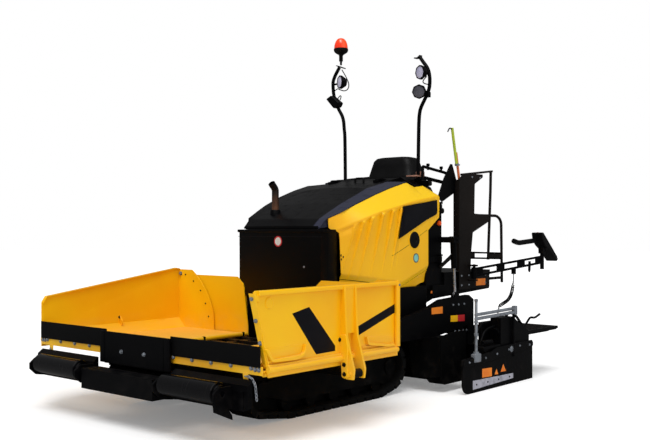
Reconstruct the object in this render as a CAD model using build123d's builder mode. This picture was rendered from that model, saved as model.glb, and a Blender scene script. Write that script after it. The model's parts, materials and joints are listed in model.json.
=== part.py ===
from build123d import *
import math
import os

# Tracked asphalt paver.  Millimetres, +Z up, the front faces -Y and +X is the machine's left side.
# The origin is on the ground under the middle of the machine.

# ---- driving dimensions ----
hopper_width = 3100.0        # over the outer faces of the lowered wings
hopper_length = 1800.0       # apron to rear wall
hopper_front_y = -2568.0     # plane of the apron strips
wall_height = 642.0          # of the wings above the floor
plate = 10.0                 # hopper plate
roller_radius = 90.0
roller_length = 700.0
roller_inner_x = 575.0
track_width = 300.0
track_inner_x = 570.0
track_height = 550.0
floor_clear = 70.0           # from the tracks' top up to the hopper floor
screed_half = 850.0          # half of the basic paving width
extension_out = 600.0        # how far each extension stands out at rest
body_half = 850.0            # half width over the side doors
platform_top_z = 1250.0
platform_deep = 210.0
seat_height = 450.0
beacon_top_z = 4090.0

# ---- stations along the machine ----
rear_wall_y = hopper_front_y + hopper_length
wing_rear_y = rear_wall_y - 12.0
housing_rear_y = rear_wall_y + 235.0
body_rear_y = rear_wall_y + 1830.0
platform_rear_y = body_rear_y + 1020.0

# ---- sizes that follow from these ----
wall_outer_x = hopper_width / 2
wing_floor_z = track_height + floor_clear
wing_top_z = wing_floor_z + wall_height
beam_outer_x = track_inner_x - 90.0
wing_hinge_x = beam_outer_x - 30.0
tow_arm_x = (max(screed_half, body_half) + 75.0, max(screed_half, body_half) + 135.0)

# ---- stations of the tracks ----
idler_y = hopper_front_y + 735.0
sprocket_y = rear_wall_y + 820.0
contact_y = (idler_y + 355.0, sprocket_y - 190.0)
loop_end_radius = track_height / 2 - 25.0
wheel_z = track_height - loop_end_radius

# ---- clearances ----
pin_play = 0.4               # radius, at pins and shafts
seat_gap = 0.3               # between a piece and what it rests on

sides = (("left", 1), ("right", -1))

os.makedirs("parts", exist_ok=True)


def block(x, y, z, mode=Mode.ADD):
    # a box between the low and high values of each axis
    with Locations(((x[0] + x[1]) / 2, (y[0] + y[1]) / 2, (z[0] + z[1]) / 2)):
        Box(abs(x[1] - x[0]), abs(y[1] - y[0]), abs(z[1] - z[0]), mode=mode)


def bar(start, end, radius, mode=Mode.ADD):
    # a round bar from one point to another
    run = Vector(*end) - Vector(*start)
    with BuildSketch(Plane(origin=start, z_dir=run)) as section:
        Circle(radius)
    extrude(section.sketch, amount=run.length, mode=mode)


def tube(points, radius, bend, mode=Mode.ADD):
    # a round bar along straight runs joined by bends
    with BuildLine() as route:
        FilletPolyline(*points, radius=bend)
    with BuildSketch(Plane(origin=route.line @ 0, z_dir=route.line % 0)) as section:
        Circle(radius)
    sweep(section.sketch, path=route.line, mode=mode)


def side_profile(points, x_low, x_high, mode=Mode.ADD):
    # an outline of (y, z) points, between two values of x
    with BuildSketch(Plane.YZ.offset(min(x_low, x_high))) as section:
        with BuildLine():
            Polyline(*points, close=True)
        make_face()
    extrude(section.sketch, amount=abs(x_high - x_low), mode=mode)


def front_profile(points, y_low, y_high, mode=Mode.ADD):
    # an outline of (x, z) points, between two values of y
    with BuildSketch(Plane.XZ.offset(-y_high)) as section:
        with BuildLine():
            Polyline(*points, close=True)
        make_face()
    extrude(section.sketch, amount=y_high - y_low, mode=mode)


# ---- main frame: side beams, cross-members, engine deck and tunnel walls ----
beam_wall = 30.0
beam_low_z = 300.0
beam_top_z = wing_floor_z - 45.0
frame_front_y = hopper_front_y + 50.0
frame_rear_y = body_rear_y - 30.0
tail_y = body_rear_y + 420.0
deck_z = wing_floor_z + 460.0
deck_thick = 20.0
tunnel_front_y = rear_wall_y + 30.0
wing_pin_radius = 12.0
lug_count = 4
lug_pitch = (hopper_length - 140.0) / (lug_count - 1)
lug_width = 24.0
lug_front_y = hopper_front_y + 70.0
lug_stations = [lug_front_y + i * lug_pitch for i in range(lug_count)]
pivot_y = hopper_front_y + 90.0
pivot_radius = 40.0
beam_swing_z = wing_floor_z - 230.0    # middle height of the push beam
pivot_eye_half = 45.0
cylinder_y = hopper_front_y + 1045.0
cylinder_base_x = track_inner_x + track_width + 95.0
cylinder_base_z = wing_floor_z - 120.0
cylinder_pin_radius = 16.0
tow_pin_y = rear_wall_y + 330.0
tow_pin_z = wing_floor_z + 20.0
tow_pin_radius = 25.0
lift_y = body_rear_y + 30.0
lift_top_z = 1620.0
lift_x = (tow_arm_x[0] + tow_arm_x[1]) / 2
auger_y = body_rear_y - 330.0
auger_z = 330.0
auger_radius = 180.0
shelf_top_z = 542.0
lift_pin_radius = 14.0

bed_top_z = wing_floor_z - 60.0
bed_thick = 25.0
cross_top_z = bed_top_z - bed_thick - seat_gap
eye_radius = 25.0            # lashing eyes
eye_doubler = 25.0
front_eye = (frame_front_y + 130, 450.0)
tail_plate = 30.0
rear_eye = (300.0, platform_top_z - platform_deep - 55)

with BuildPart() as main_frame:
    for sign in (1, -1):
        beam_x = sorted((sign * (beam_outer_x - beam_wall), sign * beam_outer_x))
        side_profile([(frame_front_y, beam_low_z + 60), (frame_front_y, beam_top_z),
                      (tunnel_front_y, beam_top_z), (tunnel_front_y, deck_z),
                      (frame_rear_y, deck_z), (frame_rear_y, platform_top_z - platform_deep - seat_gap),
                      (tail_y, platform_top_z - platform_deep - seat_gap), (tail_y, 940),
                      (frame_rear_y + 40, 820), (frame_rear_y, shelf_top_z + seat_gap),
                      (auger_y - auger_radius - 20, shelf_top_z + seat_gap),
                      (auger_y - auger_radius - 20, beam_low_z),
                      (frame_front_y + 260, beam_low_z)],
                     *beam_x)
    inner_x = beam_outer_x - beam_wall + 1
    block((-inner_x, inner_x), (frame_front_y + 400, frame_front_y + 430), (beam_low_z, cross_top_z))
    block((-inner_x, inner_x), (tow_pin_y, tow_pin_y + 30), (beam_low_z, cross_top_z))
    block((-inner_x, inner_x), (auger_y - auger_radius - 50, auger_y - auger_radius - 20),
          (beam_low_z + 30, cross_top_z))
    block((-inner_x, inner_x), (tunnel_front_y, frame_rear_y), (deck_z - deck_thick, deck_z))
    # front tongue that carries the push beam's pivot between two eyes
    for low in (beam_swing_z - pivot_eye_half - 35, beam_swing_z + pivot_eye_half + 5):
        block((-inner_x, inner_x), (pivot_y - 70, frame_front_y + 401), (low, low + 30))
    bar((0, pivot_y, beam_swing_z - pivot_eye_half - 45), (0, pivot_y, beam_swing_z + pivot_eye_half + 45),
        pivot_radius)
    # wing hinge lugs with their pins
    for sign in (1, -1):
        for y in lug_stations:
            block(sorted((sign * (wing_hinge_x - 20), sign * (wing_hinge_x + 24))),
                  (y - lug_width / 2, y + lug_width / 2), (beam_top_z - 40, wing_floor_z + 22))
        bar((sign * wing_hinge_x, lug_stations[0] - lug_width / 2, wing_floor_z),
            (sign * wing_hinge_x, lug_stations[-1] + lug_width / 2, wing_floor_z), wing_pin_radius)
        # outrigger over the track for the wing cylinder's base
        block(sorted((sign * (beam_outer_x - 1), sign * (cylinder_base_x - 60))),
              (cylinder_y - 75, cylinder_y + 75), (beam_top_z - 10, beam_top_z + 10))
        for y in (cylinder_y - 75, cylinder_y + 55):
            block(sorted((sign * (cylinder_base_x - 85), sign * (cylinder_base_x + 45))),
                  (y, y + 20), (cylinder_base_z - 45, beam_top_z + 9))
        bar((sign * cylinder_base_x, cylinder_y - 85, cylinder_base_z),
            (sign * cylinder_base_x, cylinder_y + 85, cylinder_base_z), cylinder_pin_radius)
        # track frame axles and the tow pin
        for y in (contact_y[0] + 210, contact_y[1] - 230):
            bar((sign * (beam_outer_x - 1), y, wheel_z + 30),
                (sign * (track_inner_x + 45 - seat_gap), y, wheel_z + 30), 70)
        block(sorted((sign * (beam_outer_x - 1), sign * (tow_arm_x[0] - 65))),
              (tow_pin_y - 60, tow_pin_y + 60),
              (tow_pin_z - 45, tow_pin_z + 45))
        bar((sign * (tow_arm_x[0] - 75), tow_pin_y, tow_pin_z), (sign * (tow_arm_x[1] + 20), tow_pin_y,
                                                                 tow_pin_z),
            tow_pin_radius)
        # lashing eye through the beam's front end
        y, z = front_eye
        block(sorted((sign * (beam_outer_x - 1), sign * (beam_outer_x + eye_doubler))),
              (y - 55, y + 55), (z - 45, z + 45))
        bar((sign * (beam_outer_x - beam_wall - 1), y, z), (sign * (beam_outer_x + eye_doubler + 1), y, z),
            eye_radius, mode=Mode.SUBTRACT)
    # tail plate with the two rear lashing eyes
    block((-inner_x, inner_x), (tail_y - tail_plate, tail_y),
          (rear_eye[1] - 55, platform_top_z - platform_deep - seat_gap))
    for x in (-rear_eye[0], rear_eye[0]):
        bar((x, tail_y - tail_plate - 1, rear_eye[1]), (x, tail_y + 1, rear_eye[1]), eye_radius,
            mode=Mode.SUBTRACT)
main_frame.part.label = "main_frame"
export_step(main_frame.part, "parts/main_frame.step")

# ---- conveyor: bed plate, two chains and the slats ----
conveyor_half = beam_outer_x - beam_wall - 38.0
slat_pitch = 220.0
conveyor_rear_y = auger_y - auger_radius - 15.0
with BuildPart() as conveyor:
    block((-conveyor_half, conveyor_half), (frame_front_y + 10, conveyor_rear_y),
          (bed_top_z - bed_thick, bed_top_z))
    for x in (-250, 250):
        block((x - 25, x + 25), (frame_front_y + 30, conveyor_rear_y - 20), (bed_top_z - 1, bed_top_z + 30))
    slat_count = int((conveyor_rear_y - frame_front_y - 160) // slat_pitch)
    for i in range(slat_count + 1):
        y = frame_front_y + 80 + i * slat_pitch
        block((-conveyor_half + 12, conveyor_half - 12), (y, y + 45), (bed_top_z - 1, bed_top_z + 40))
    bar((-conveyor_half, frame_front_y + 12, bed_top_z - 5), (conveyor_half, frame_front_y + 12,
                                                              bed_top_z - 5), 40)
conveyor.part.label = "conveyor"
export_step(conveyor.part, "parts/conveyor.step")

# ---- guard plate over the front end of the conveyor ----
nose_half = 420.0
nose_height = 285.0
nose_low_z = wing_floor_z - 100.0
nose_y = hopper_front_y - 52.0
guard_half = beam_outer_x - beam_wall - seat_gap
with BuildPart() as hopper_nose:
    front_profile([(-nose_half, nose_low_z), (nose_half, nose_low_z),
                   (nose_half, nose_low_z + nose_height - 15),
                   (nose_half - 15, nose_low_z + nose_height), (-nose_half + 15, nose_low_z + nose_height),
                   (-nose_half, nose_low_z + nose_height - 15)], nose_y, nose_y + 20)
    block((-guard_half, guard_half), (nose_y + 19, frame_front_y - 30), (nose_low_z - 8, nose_low_z + 2))
    for x in (-nose_half + 40, nose_half - 52):
        side_profile([(nose_y + 19, nose_low_z + 1), (nose_y + 19, nose_low_z + 160),
                      (frame_front_y - 40, nose_low_z + 40), (frame_front_y - 40,
                                                              nose_low_z + 1)], x, x + 12)
    for x in (-guard_half, guard_half - 20):
        block((x, x + 20), (frame_front_y - 35, frame_front_y + 60), (nose_low_z - 35, nose_low_z + 2))
hopper_nose.part.label = "conveyor_nose_guard"
export_step(hopper_nose.part, "parts/conveyor_nose_guard.step")

# ---- hopper rear wall: one plate each side of the conveyor tunnel ----
rear_plate_top_z = wing_top_z - 37.0
rear_plate_x = (wing_hinge_x - 10.0, wall_outer_x - 110.0)
housing_half = 620.0
with BuildPart() as rear_wall:
    for sign in (1, -1):
        front_profile([(sign * rear_plate_x[0], wing_floor_z - 20),
                       (sign * rear_plate_x[1], wing_floor_z - 20),
                       (sign * rear_plate_x[1], rear_plate_top_z), (sign * (housing_half - 20),
                                                                    rear_plate_top_z),
                       (sign * 510, rear_plate_top_z - 75), (sign * rear_plate_x[0], wing_floor_z + 80)],
                      rear_wall_y, rear_wall_y + plate)
        block(sorted((sign * (housing_half + 20), sign * (rear_plate_x[1] - 60))),
              (rear_wall_y + plate - 1, rear_wall_y + 60),
              (rear_plate_top_z - 60, rear_plate_top_z - 50))
        block(sorted((sign * 500, sign * 530)), (rear_wall_y + plate - 1, tunnel_front_y + 40),
              (wing_floor_z + 80, rear_plate_top_z - 110))
rear_wall.part.label = "hopper_rear_wall"
export_step(rear_wall.part, "parts/hopper_rear_wall.step")

# ---- tracks and what carries them ----
shoe_thick = 34.0
band_thick = 26.0
wheel_radius = loop_end_radius - shoe_thick - band_thick
roller_r = 75.0
roller_z = shoe_thick + band_thick + roller_r
shoe_pitch = 128.0
shoe_length = 104.0


def loop_outline(grow):
    # the belt's side view: the hull of two end wheels and the ground run, grown by a distance
    big = wheel_radius + grow
    small = roller_r + grow
    circles = ((idler_y, wheel_z, big), (contact_y[0], roller_z, small),
               (contact_y[1], roller_z, small), (sprocket_y, wheel_z, big))
    tangents = []
    for (ya, za, ra), (yb, zb, rb) in zip(circles, circles[1:] + circles[:1]):
        gap = math.hypot(yb - ya, zb - za)
        heading = math.atan2(zb - za, yb - ya) - math.pi / 2
        lean = math.asin((ra - rb) / gap)
        angle = heading + lean
        tangents.append((ya + ra * math.cos(angle), za + ra * math.sin(angle),
                         yb + rb * math.cos(angle), zb + rb * math.sin(angle)))
    with BuildLine() as outline:
        for run, follow, wheel in zip(tangents, tangents[1:] + tangents[:1], circles[1:] + circles[:1]):
            Line((run[0], run[1]), (run[2], run[3]))
            turn_in = math.atan2(run[3] - wheel[1], run[2] - wheel[0])
            turn_out = math.atan2(follow[1] - wheel[1], follow[0] - wheel[0])
            if turn_out < turn_in:
                turn_out += 2 * math.pi
            middle = (turn_in + turn_out) / 2
            ThreePointArc((run[2], run[3]),
                          (wheel[0] + wheel[2] * math.cos(middle), wheel[1] + wheel[2] * math.sin(middle)),
                          (follow[0], follow[1]))
    return outline.wire()


for side, sign in sides:
    track_x = sign * (track_inner_x + track_width / 2)
    middle_line = loop_outline(band_thick + shoe_thick / 2 - 1)
    with BuildPart() as track:
        with BuildSketch(Plane.YZ.offset(track_x)):
            make_face(loop_outline(band_thick).edges())
            count = round(middle_line.length / shoe_pitch)
            for i in range(count):
                spot = middle_line @ (i / count)
                run = middle_line % (i / count)
                with Locations((spot.X, spot.Y)):
                    Rectangle(shoe_length, shoe_thick + 2, rotation=math.degrees(math.atan2(run.Y, run.X)))
            make_face(loop_outline(0).edges(), mode=Mode.SUBTRACT)
            # the ground run is flat
            with Locations(((contact_y[0] + contact_y[1]) / 2, -50)):
                Rectangle(3000, 100, mode=Mode.SUBTRACT)
        extrude(amount=track_width / 2, both=True)
    track.part.label = f"track_{side}"
    export_step(track.part, f"parts/track_{side}.step")

    # inner beam, idler, sprocket and rollers
    with BuildPart() as track_frame:
        with BuildSketch(Plane.YZ.offset(track_x)):
            with BuildLine():
                Polyline((idler_y, wheel_z - 50), (idler_y, wheel_z + 50),
                         (contact_y[0], track_height - 130),
                         (contact_y[1], track_height - 130), (sprocket_y, wheel_z + 50), (sprocket_y,
                                                                                          wheel_z - 50),
                         (contact_y[1], roller_z + 15), (contact_y[0], roller_z + 15), close=True)
            make_face()
        extrude(amount=track_width / 2 - 45, both=True)
        for y, z, r in ((idler_y, wheel_z, wheel_radius), (sprocket_y, wheel_z, wheel_radius)):
            bar((track_x - 60, y, z), (track_x + 60, y, z), r - 1)
            bar((track_x - 125, y, z), (track_x + 125, y, z), 80)
        roller_count = 5
        for i in range(roller_count):
            y = contact_y[0] + i * (contact_y[1] - contact_y[0]) / (roller_count - 1)
            bar((track_x - 80, y, roller_z), (track_x + 80, y, roller_z), roller_r - 1)
    track_frame.part.label = f"track_frame_{side}"
    export_step(track_frame.part, f"parts/track_frame_{side}.step")

# ---- hopper wings ----
barrel_radius = 25.0
ear_pin_x = wall_outer_x + 100.0
ear_pin_z = cylinder_base_z
ear_low_z = ear_pin_z - 45.0
ear_gap_half = 62.0
ear_thick = 24.0
ear_pin_radius = 19.0
lever_tops = {"left": wing_top_z - 7.0, "right": wing_top_z - 92.0}
bin_front_y = hopper_front_y + 8.0
wing_reach = wall_outer_x - plate
# wall outlines as (y, z), the right wing's top edge slopes down to the front
wall_low_z = wing_floor_z - 52.0
left_wall = [(hopper_front_y + 70, wall_low_z), (hopper_front_y - 94, wing_top_z - 13),
             (hopper_front_y - 60, wing_top_z), (wing_rear_y, wing_top_z), (wing_rear_y, wall_low_z)]
right_wall = [(hopper_front_y, wall_low_z), (hopper_front_y, wing_top_z - 262),
              (hopper_front_y + 45, wing_top_z - 202), (wing_rear_y - 60, wing_top_z + 30),
              (wing_rear_y, wing_top_z + 18), (wing_rear_y, wall_low_z)]
# the rear plate's inner edge as (x, z)
plate_foot = (wing_reach - 590.0, wing_floor_z)
plate_bend = (wing_reach - 578.0, wing_floor_z + 180.0)
plate_middle = (wing_reach - 449.0, wing_floor_z + 445.0)
plate_head_x = wing_reach - 220.0
for side, sign in sides:
    with BuildPart() as wing:
        side_profile(left_wall if sign > 0 else right_wall,
                     *sorted((sign * wall_outer_x, sign * wing_reach)))
        # floor and the bevel up to the wall
        block(sorted((sign * (wing_hinge_x + 15), sign * (wing_reach + 1))), (bin_front_y, wing_rear_y),
              (wing_floor_z - 5, wing_floor_z + 5))
        front_profile([(sign * (wing_reach - 110), wing_floor_z + 4),
                       (sign * (wing_reach - 98), wing_floor_z + 4),
                       (sign * (wing_reach + 1), wing_floor_z + 96), (sign * (wing_reach + 1),
                                                                      wing_floor_z + 110)],
                      bin_front_y + 40, wing_rear_y)
        # rear plate whose inner edge is an arc
        with BuildSketch(Plane.XZ.offset(-wing_rear_y)):
            with BuildLine():
                top_z = wing_top_z if sign > 0 else wing_top_z + 18
                foot = (sign * plate_foot[0], plate_foot[1])
                bend = (sign * plate_bend[0], plate_bend[1])
                head = (sign * plate_head_x, top_z)
                Line(foot, bend)
                ThreePointArc(bend, (sign * plate_middle[0], plate_middle[1]), head)
                Polyline(head, (sign * (wing_reach + 1), top_z), (sign * (wing_reach + 1), wing_floor_z),
                         foot)
            make_face()
        extrude(amount=plate)
        # front strip that the rubber apron is bolted to
        block(sorted((sign * (wing_hinge_x + 30), sign * wall_outer_x)),
              (hopper_front_y, hopper_front_y + plate),
              (wing_floor_z - 28, wing_floor_z + 42))
        # hinge barrel and the stiffener under the outer edge
        bar((sign * wing_hinge_x, bin_front_y, wing_floor_z), (sign * wing_hinge_x, wing_rear_y - 5,
                                                               wing_floor_z),
            barrel_radius)
        bar((sign * (wall_outer_x - 35), bin_front_y + 40, wing_floor_z - 25),
            (sign * (wall_outer_x - 35), wing_rear_y - 10, wing_floor_z - 25), 22)
        # lever channel on the outer face, with two ears for the cylinder
        lever_top_z = lever_tops[side]
        for y in (cylinder_y - ear_gap_half - ear_thick, cylinder_y + ear_gap_half):
            front_profile([(sign * (wall_outer_x - 1), lever_top_z),
                           (sign * (wall_outer_x + 38), lever_top_z),
                           (sign * (wall_outer_x + 62), wing_floor_z + 200), (sign * (ear_pin_x + 45),
                                                                              ear_pin_z + 40),
                           (sign * (ear_pin_x + 35), ear_low_z), (sign * (ear_pin_x - 40), ear_low_z),
                           (sign * (wall_outer_x - 1), wing_floor_z + 20)], y, y + ear_thick)
            bar((sign * ear_pin_x, y - 8, ear_pin_z), (sign * ear_pin_x, y + ear_thick + 8, ear_pin_z),
                ear_pin_radius)
            block(sorted((sign * (ear_pin_x - 60), sign * (ear_pin_x + 60))),
                  (cylinder_y - ear_gap_half, cylinder_y + ear_gap_half),
                  (ear_pin_z - 40, ear_pin_z + 40), mode=Mode.SUBTRACT)
        block(sorted((sign * (wall_outer_x - 1), sign * (wall_outer_x + 30))),
              (cylinder_y - ear_gap_half - 1, cylinder_y + ear_gap_half + 1), (wing_floor_z + 220,
                                                                               lever_top_z))
        # lower angle brackets and the rear post
        for y, length in ((hopper_front_y + 60, 370), (hopper_front_y + 1250, 460)):
            block(sorted((sign * (wall_outer_x - 1), sign * (wall_outer_x + 12))), (y, y + length),
                  (wing_floor_z + 70, wing_floor_z + 80))
        block(sorted((sign * (wall_outer_x - 1), sign * (wall_outer_x + 10))),
              (wing_rear_y - 45, wing_rear_y),
              (wing_floor_z + 40, wing_top_z))
        # room for the hinge lugs and the pin
        for y in lug_stations:
            block(sorted((sign * (wing_hinge_x - 30), sign * (wing_hinge_x + 40))),
                  (y - lug_width / 2 - 5, y + lug_width / 2 + 5),
                  (wing_floor_z - 40, wing_floor_z + 40), mode=Mode.SUBTRACT)
        bar((sign * wing_hinge_x, bin_front_y - 1, wing_floor_z), (sign * wing_hinge_x, wing_rear_y + 1,
                                                                   wing_floor_z),
            wing_pin_radius + pin_play, mode=Mode.SUBTRACT)
    wing.part.label = f"wing_{side}"
    export_step(wing.part, f"parts/wing_{side}.step")

    # rubber apron above the front strip
    with BuildPart() as apron:
        block(sorted((sign * (wing_hinge_x + 30), sign * (wall_outer_x - 14))),
              (hopper_front_y - 12 - seat_gap, hopper_front_y - seat_gap), (wing_floor_z + 34,
                                                                            wing_floor_z + 200))
    apron.part.label = f"wing_apron_{side}"
    export_step(apron.part, f"parts/wing_apron_{side}.step")

# ---- wing cylinders: barrel on the outrigger, rod to the wing's ears ----
barrel_r = 42.0
barrel_length = 620.0
rod_r = 22.0
rod_start = 66.0
eye_r = 38.0
eye_half = 50.0
for side, sign in sides:
    base = Vector(sign * cylinder_base_x, cylinder_y, cylinder_base_z)
    tip = Vector(sign * ear_pin_x, cylinder_y, ear_pin_z)
    run = (tip - base).normalized()
    with BuildPart() as barrel:
        bar(tuple(base), tuple(base + run * barrel_length), barrel_r)
        bar((base.X, cylinder_y - 50, base.Z), (base.X, cylinder_y + 50, base.Z), barrel_r + 4)
        bar((base.X, cylinder_y - 51, base.Z), (base.X, cylinder_y + 51, base.Z),
            cylinder_pin_radius + pin_play, mode=Mode.SUBTRACT)
        bar(tuple(base + run * (rod_start - 4)), tuple(base + run * (barrel_length + 1)),
            rod_r + pin_play, mode=Mode.SUBTRACT)
    barrel.part.label = f"wing_cylinder_{side}"
    export_step(barrel.part, f"parts/wing_cylinder_{side}.step")
    with BuildPart() as rod:
        bar(tuple(base + run * rod_start), tuple(tip - run * 20), rod_r)
        bar((tip.X, cylinder_y - eye_half, tip.Z), (tip.X, cylinder_y + eye_half, tip.Z), eye_r)
        bar((tip.X, cylinder_y - eye_half - 1, tip.Z), (tip.X, cylinder_y + eye_half + 1, tip.Z),
            ear_pin_radius, mode=Mode.SUBTRACT)
    rod.part.label = f"wing_rod_{side}"
    export_step(rod.part, f"parts/wing_rod_{side}.step")

# ---- push beam with the two truck rollers ----
roller_y = hopper_front_y - 190.0
roller_axis_z = beam_swing_z + 60.0
beam_z = (beam_swing_z - 75.0, beam_swing_z + 80.0)
bracket_top_z = roller_axis_z + 50.0
roller_shaft_r = 24.0
bracket_thick = 22.0
roller_outer_x = roller_inner_x + roller_length
beam_half = roller_outer_x + 160.0
beam_y = (hopper_front_y - 95.0, hopper_front_y - 30.0)
with BuildPart() as push_beam:
    block((-beam_half, beam_half), beam_y, beam_z)
    # eye on the pivot
    block((-120, 120), (beam_y[1] - 1, pivot_y), (beam_swing_z - pivot_eye_half,
                                                  beam_swing_z + pivot_eye_half))
    bar((0, pivot_y, beam_swing_z - pivot_eye_half), (0, pivot_y, beam_swing_z + pivot_eye_half), 75)
    bar((0, pivot_y, beam_swing_z - pivot_eye_half - 1), (0, pivot_y, beam_swing_z + pivot_eye_half + 1),
        pivot_radius + pin_play, mode=Mode.SUBTRACT)
    # centre box between the rollers
    block((-roller_inner_x + 70, roller_inner_x - 70), (beam_y[0] - 150, beam_y[0] + 1),
          (beam_z[0] - 15, beam_z[1] + 10))
    for sign in (1, -1):
        # sloping cover behind each roller
        side_profile([(beam_y[0] + 1, beam_z[1] - 1), (roller_y + 105, bracket_top_z + 5),
                      (roller_y + 105, bracket_top_z + 15), (beam_y[1], bracket_top_z + 56),
                      (beam_y[1], beam_z[1] - 1)], *sorted((sign * (roller_inner_x - 30),
                                                            sign * (beam_half + 40))))
        for x in (roller_inner_x - 6 - bracket_thick, roller_outer_x + 6):
            low, high = sorted((sign * x, sign * (x + bracket_thick)))
            side_profile([(beam_y[0] + 1, beam_z[0] + 5), (beam_y[0] + 1, bracket_top_z),
                          (roller_y - 40, bracket_top_z), (roller_y - 95, roller_axis_z + 5),
                          (roller_y - 95, roller_axis_z - 50), (roller_y - 30, beam_z[0] + 25)], low, high)
            bar((low - 1, roller_y, roller_axis_z), (high + 1, roller_y, roller_axis_z),
                roller_shaft_r + pin_play, mode=Mode.SUBTRACT)
        block(sorted((sign * (beam_half - 5), sign * (beam_half + 40))), (beam_y[0] + 10, beam_y[1]),
              (beam_z[0] + 15, bracket_top_z))
    # foot below the left end bracket
    side_profile([(roller_y - 87, roller_axis_z - 40), (roller_y - 87, roller_axis_z - 74),
                  (roller_y - 77, roller_axis_z - 138), (roller_y + 112, roller_axis_z - 222),
                  (roller_y + 104, roller_axis_z - 181), (roller_y + 39, roller_axis_z - 100),
                  (roller_y + 39, roller_axis_z - 40)], roller_outer_x + 6, roller_outer_x + 6 + bracket_thick)
push_beam.part.label = "push_beam"
export_step(push_beam.part, "parts/push_beam.step")

for side, sign in sides:
    with BuildPart() as roller:
        bar((sign * roller_inner_x, roller_y, roller_axis_z), (sign * roller_outer_x, roller_y,
                                                               roller_axis_z),
            roller_radius)
        bar((sign * (roller_inner_x - 26), roller_y, roller_axis_z),
            (sign * (roller_outer_x + 26), roller_y, roller_axis_z), roller_shaft_r)
    roller.part.label = f"push_roller_{side}"
    export_step(roller.part, f"parts/push_roller_{side}.step")

# ---- engine compartment ----
engine_front_y = housing_rear_y + 100.0
with BuildPart() as engine:
    block((-380, 380), (engine_front_y, engine_front_y + 950), (deck_z, deck_z + 620))
engine.part.label = "engine_block"
export_step(engine.part, "parts/engine_block.step")

housing_top_z = 1710.0
with BuildPart() as housing:
    front_profile([(-housing_half, deck_z + 210), (-housing_half + 100, deck_z + 50),
                   (housing_half - 100, deck_z + 50), (housing_half, deck_z + 210),
                   (housing_half, housing_top_z), (-housing_half, housing_top_z)],
                  rear_wall_y + plate + seat_gap, housing_rear_y)
    side_profile([(rear_wall_y + 40, housing_top_z - 1), (housing_rear_y, housing_top_z - 1),
                  (housing_rear_y, housing_top_z + 28)], -housing_half, housing_half)
    block((-470, 470), (rear_wall_y + 60, housing_rear_y - 20), (deck_z, deck_z + 51))
housing.part.label = "front_housing"
export_step(housing.part, "parts/front_housing.step")

# side tanks over the tracks, under the doors
tank_front_y = rear_wall_y + 130.0
tank_rear_y = body_rear_y - 310.0
tank_low_z = max(track_height, shelf_top_z) + 60.0
tank_top_z = deck_z + 35.0
for side, sign in sides:
    with BuildPart() as tank:
        front_profile([(sign * (beam_outer_x + seat_gap), tank_low_z + 130),
                       (sign * (beam_outer_x + 80), tank_low_z),
                       (sign * (body_half - 60), tank_low_z), (sign * (body_half - 20), tank_low_z + 60),
                       (sign * (body_half - 20), tank_top_z), (sign * (beam_outer_x + seat_gap),
                                                               tank_top_z)],
                      tank_front_y, tank_rear_y)
        block(sorted((sign * (beam_outer_x - 5), sign * (tow_arm_x[0] - 45))),
              (tow_pin_y - 66, tow_pin_y + 66),
              (tank_low_z - 20, tow_pin_z + 52), mode=Mode.SUBTRACT)
    tank.part.label = f"side_tank_{side}"
    export_step(tank.part, f"parts/side_tank_{side}.step")

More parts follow.
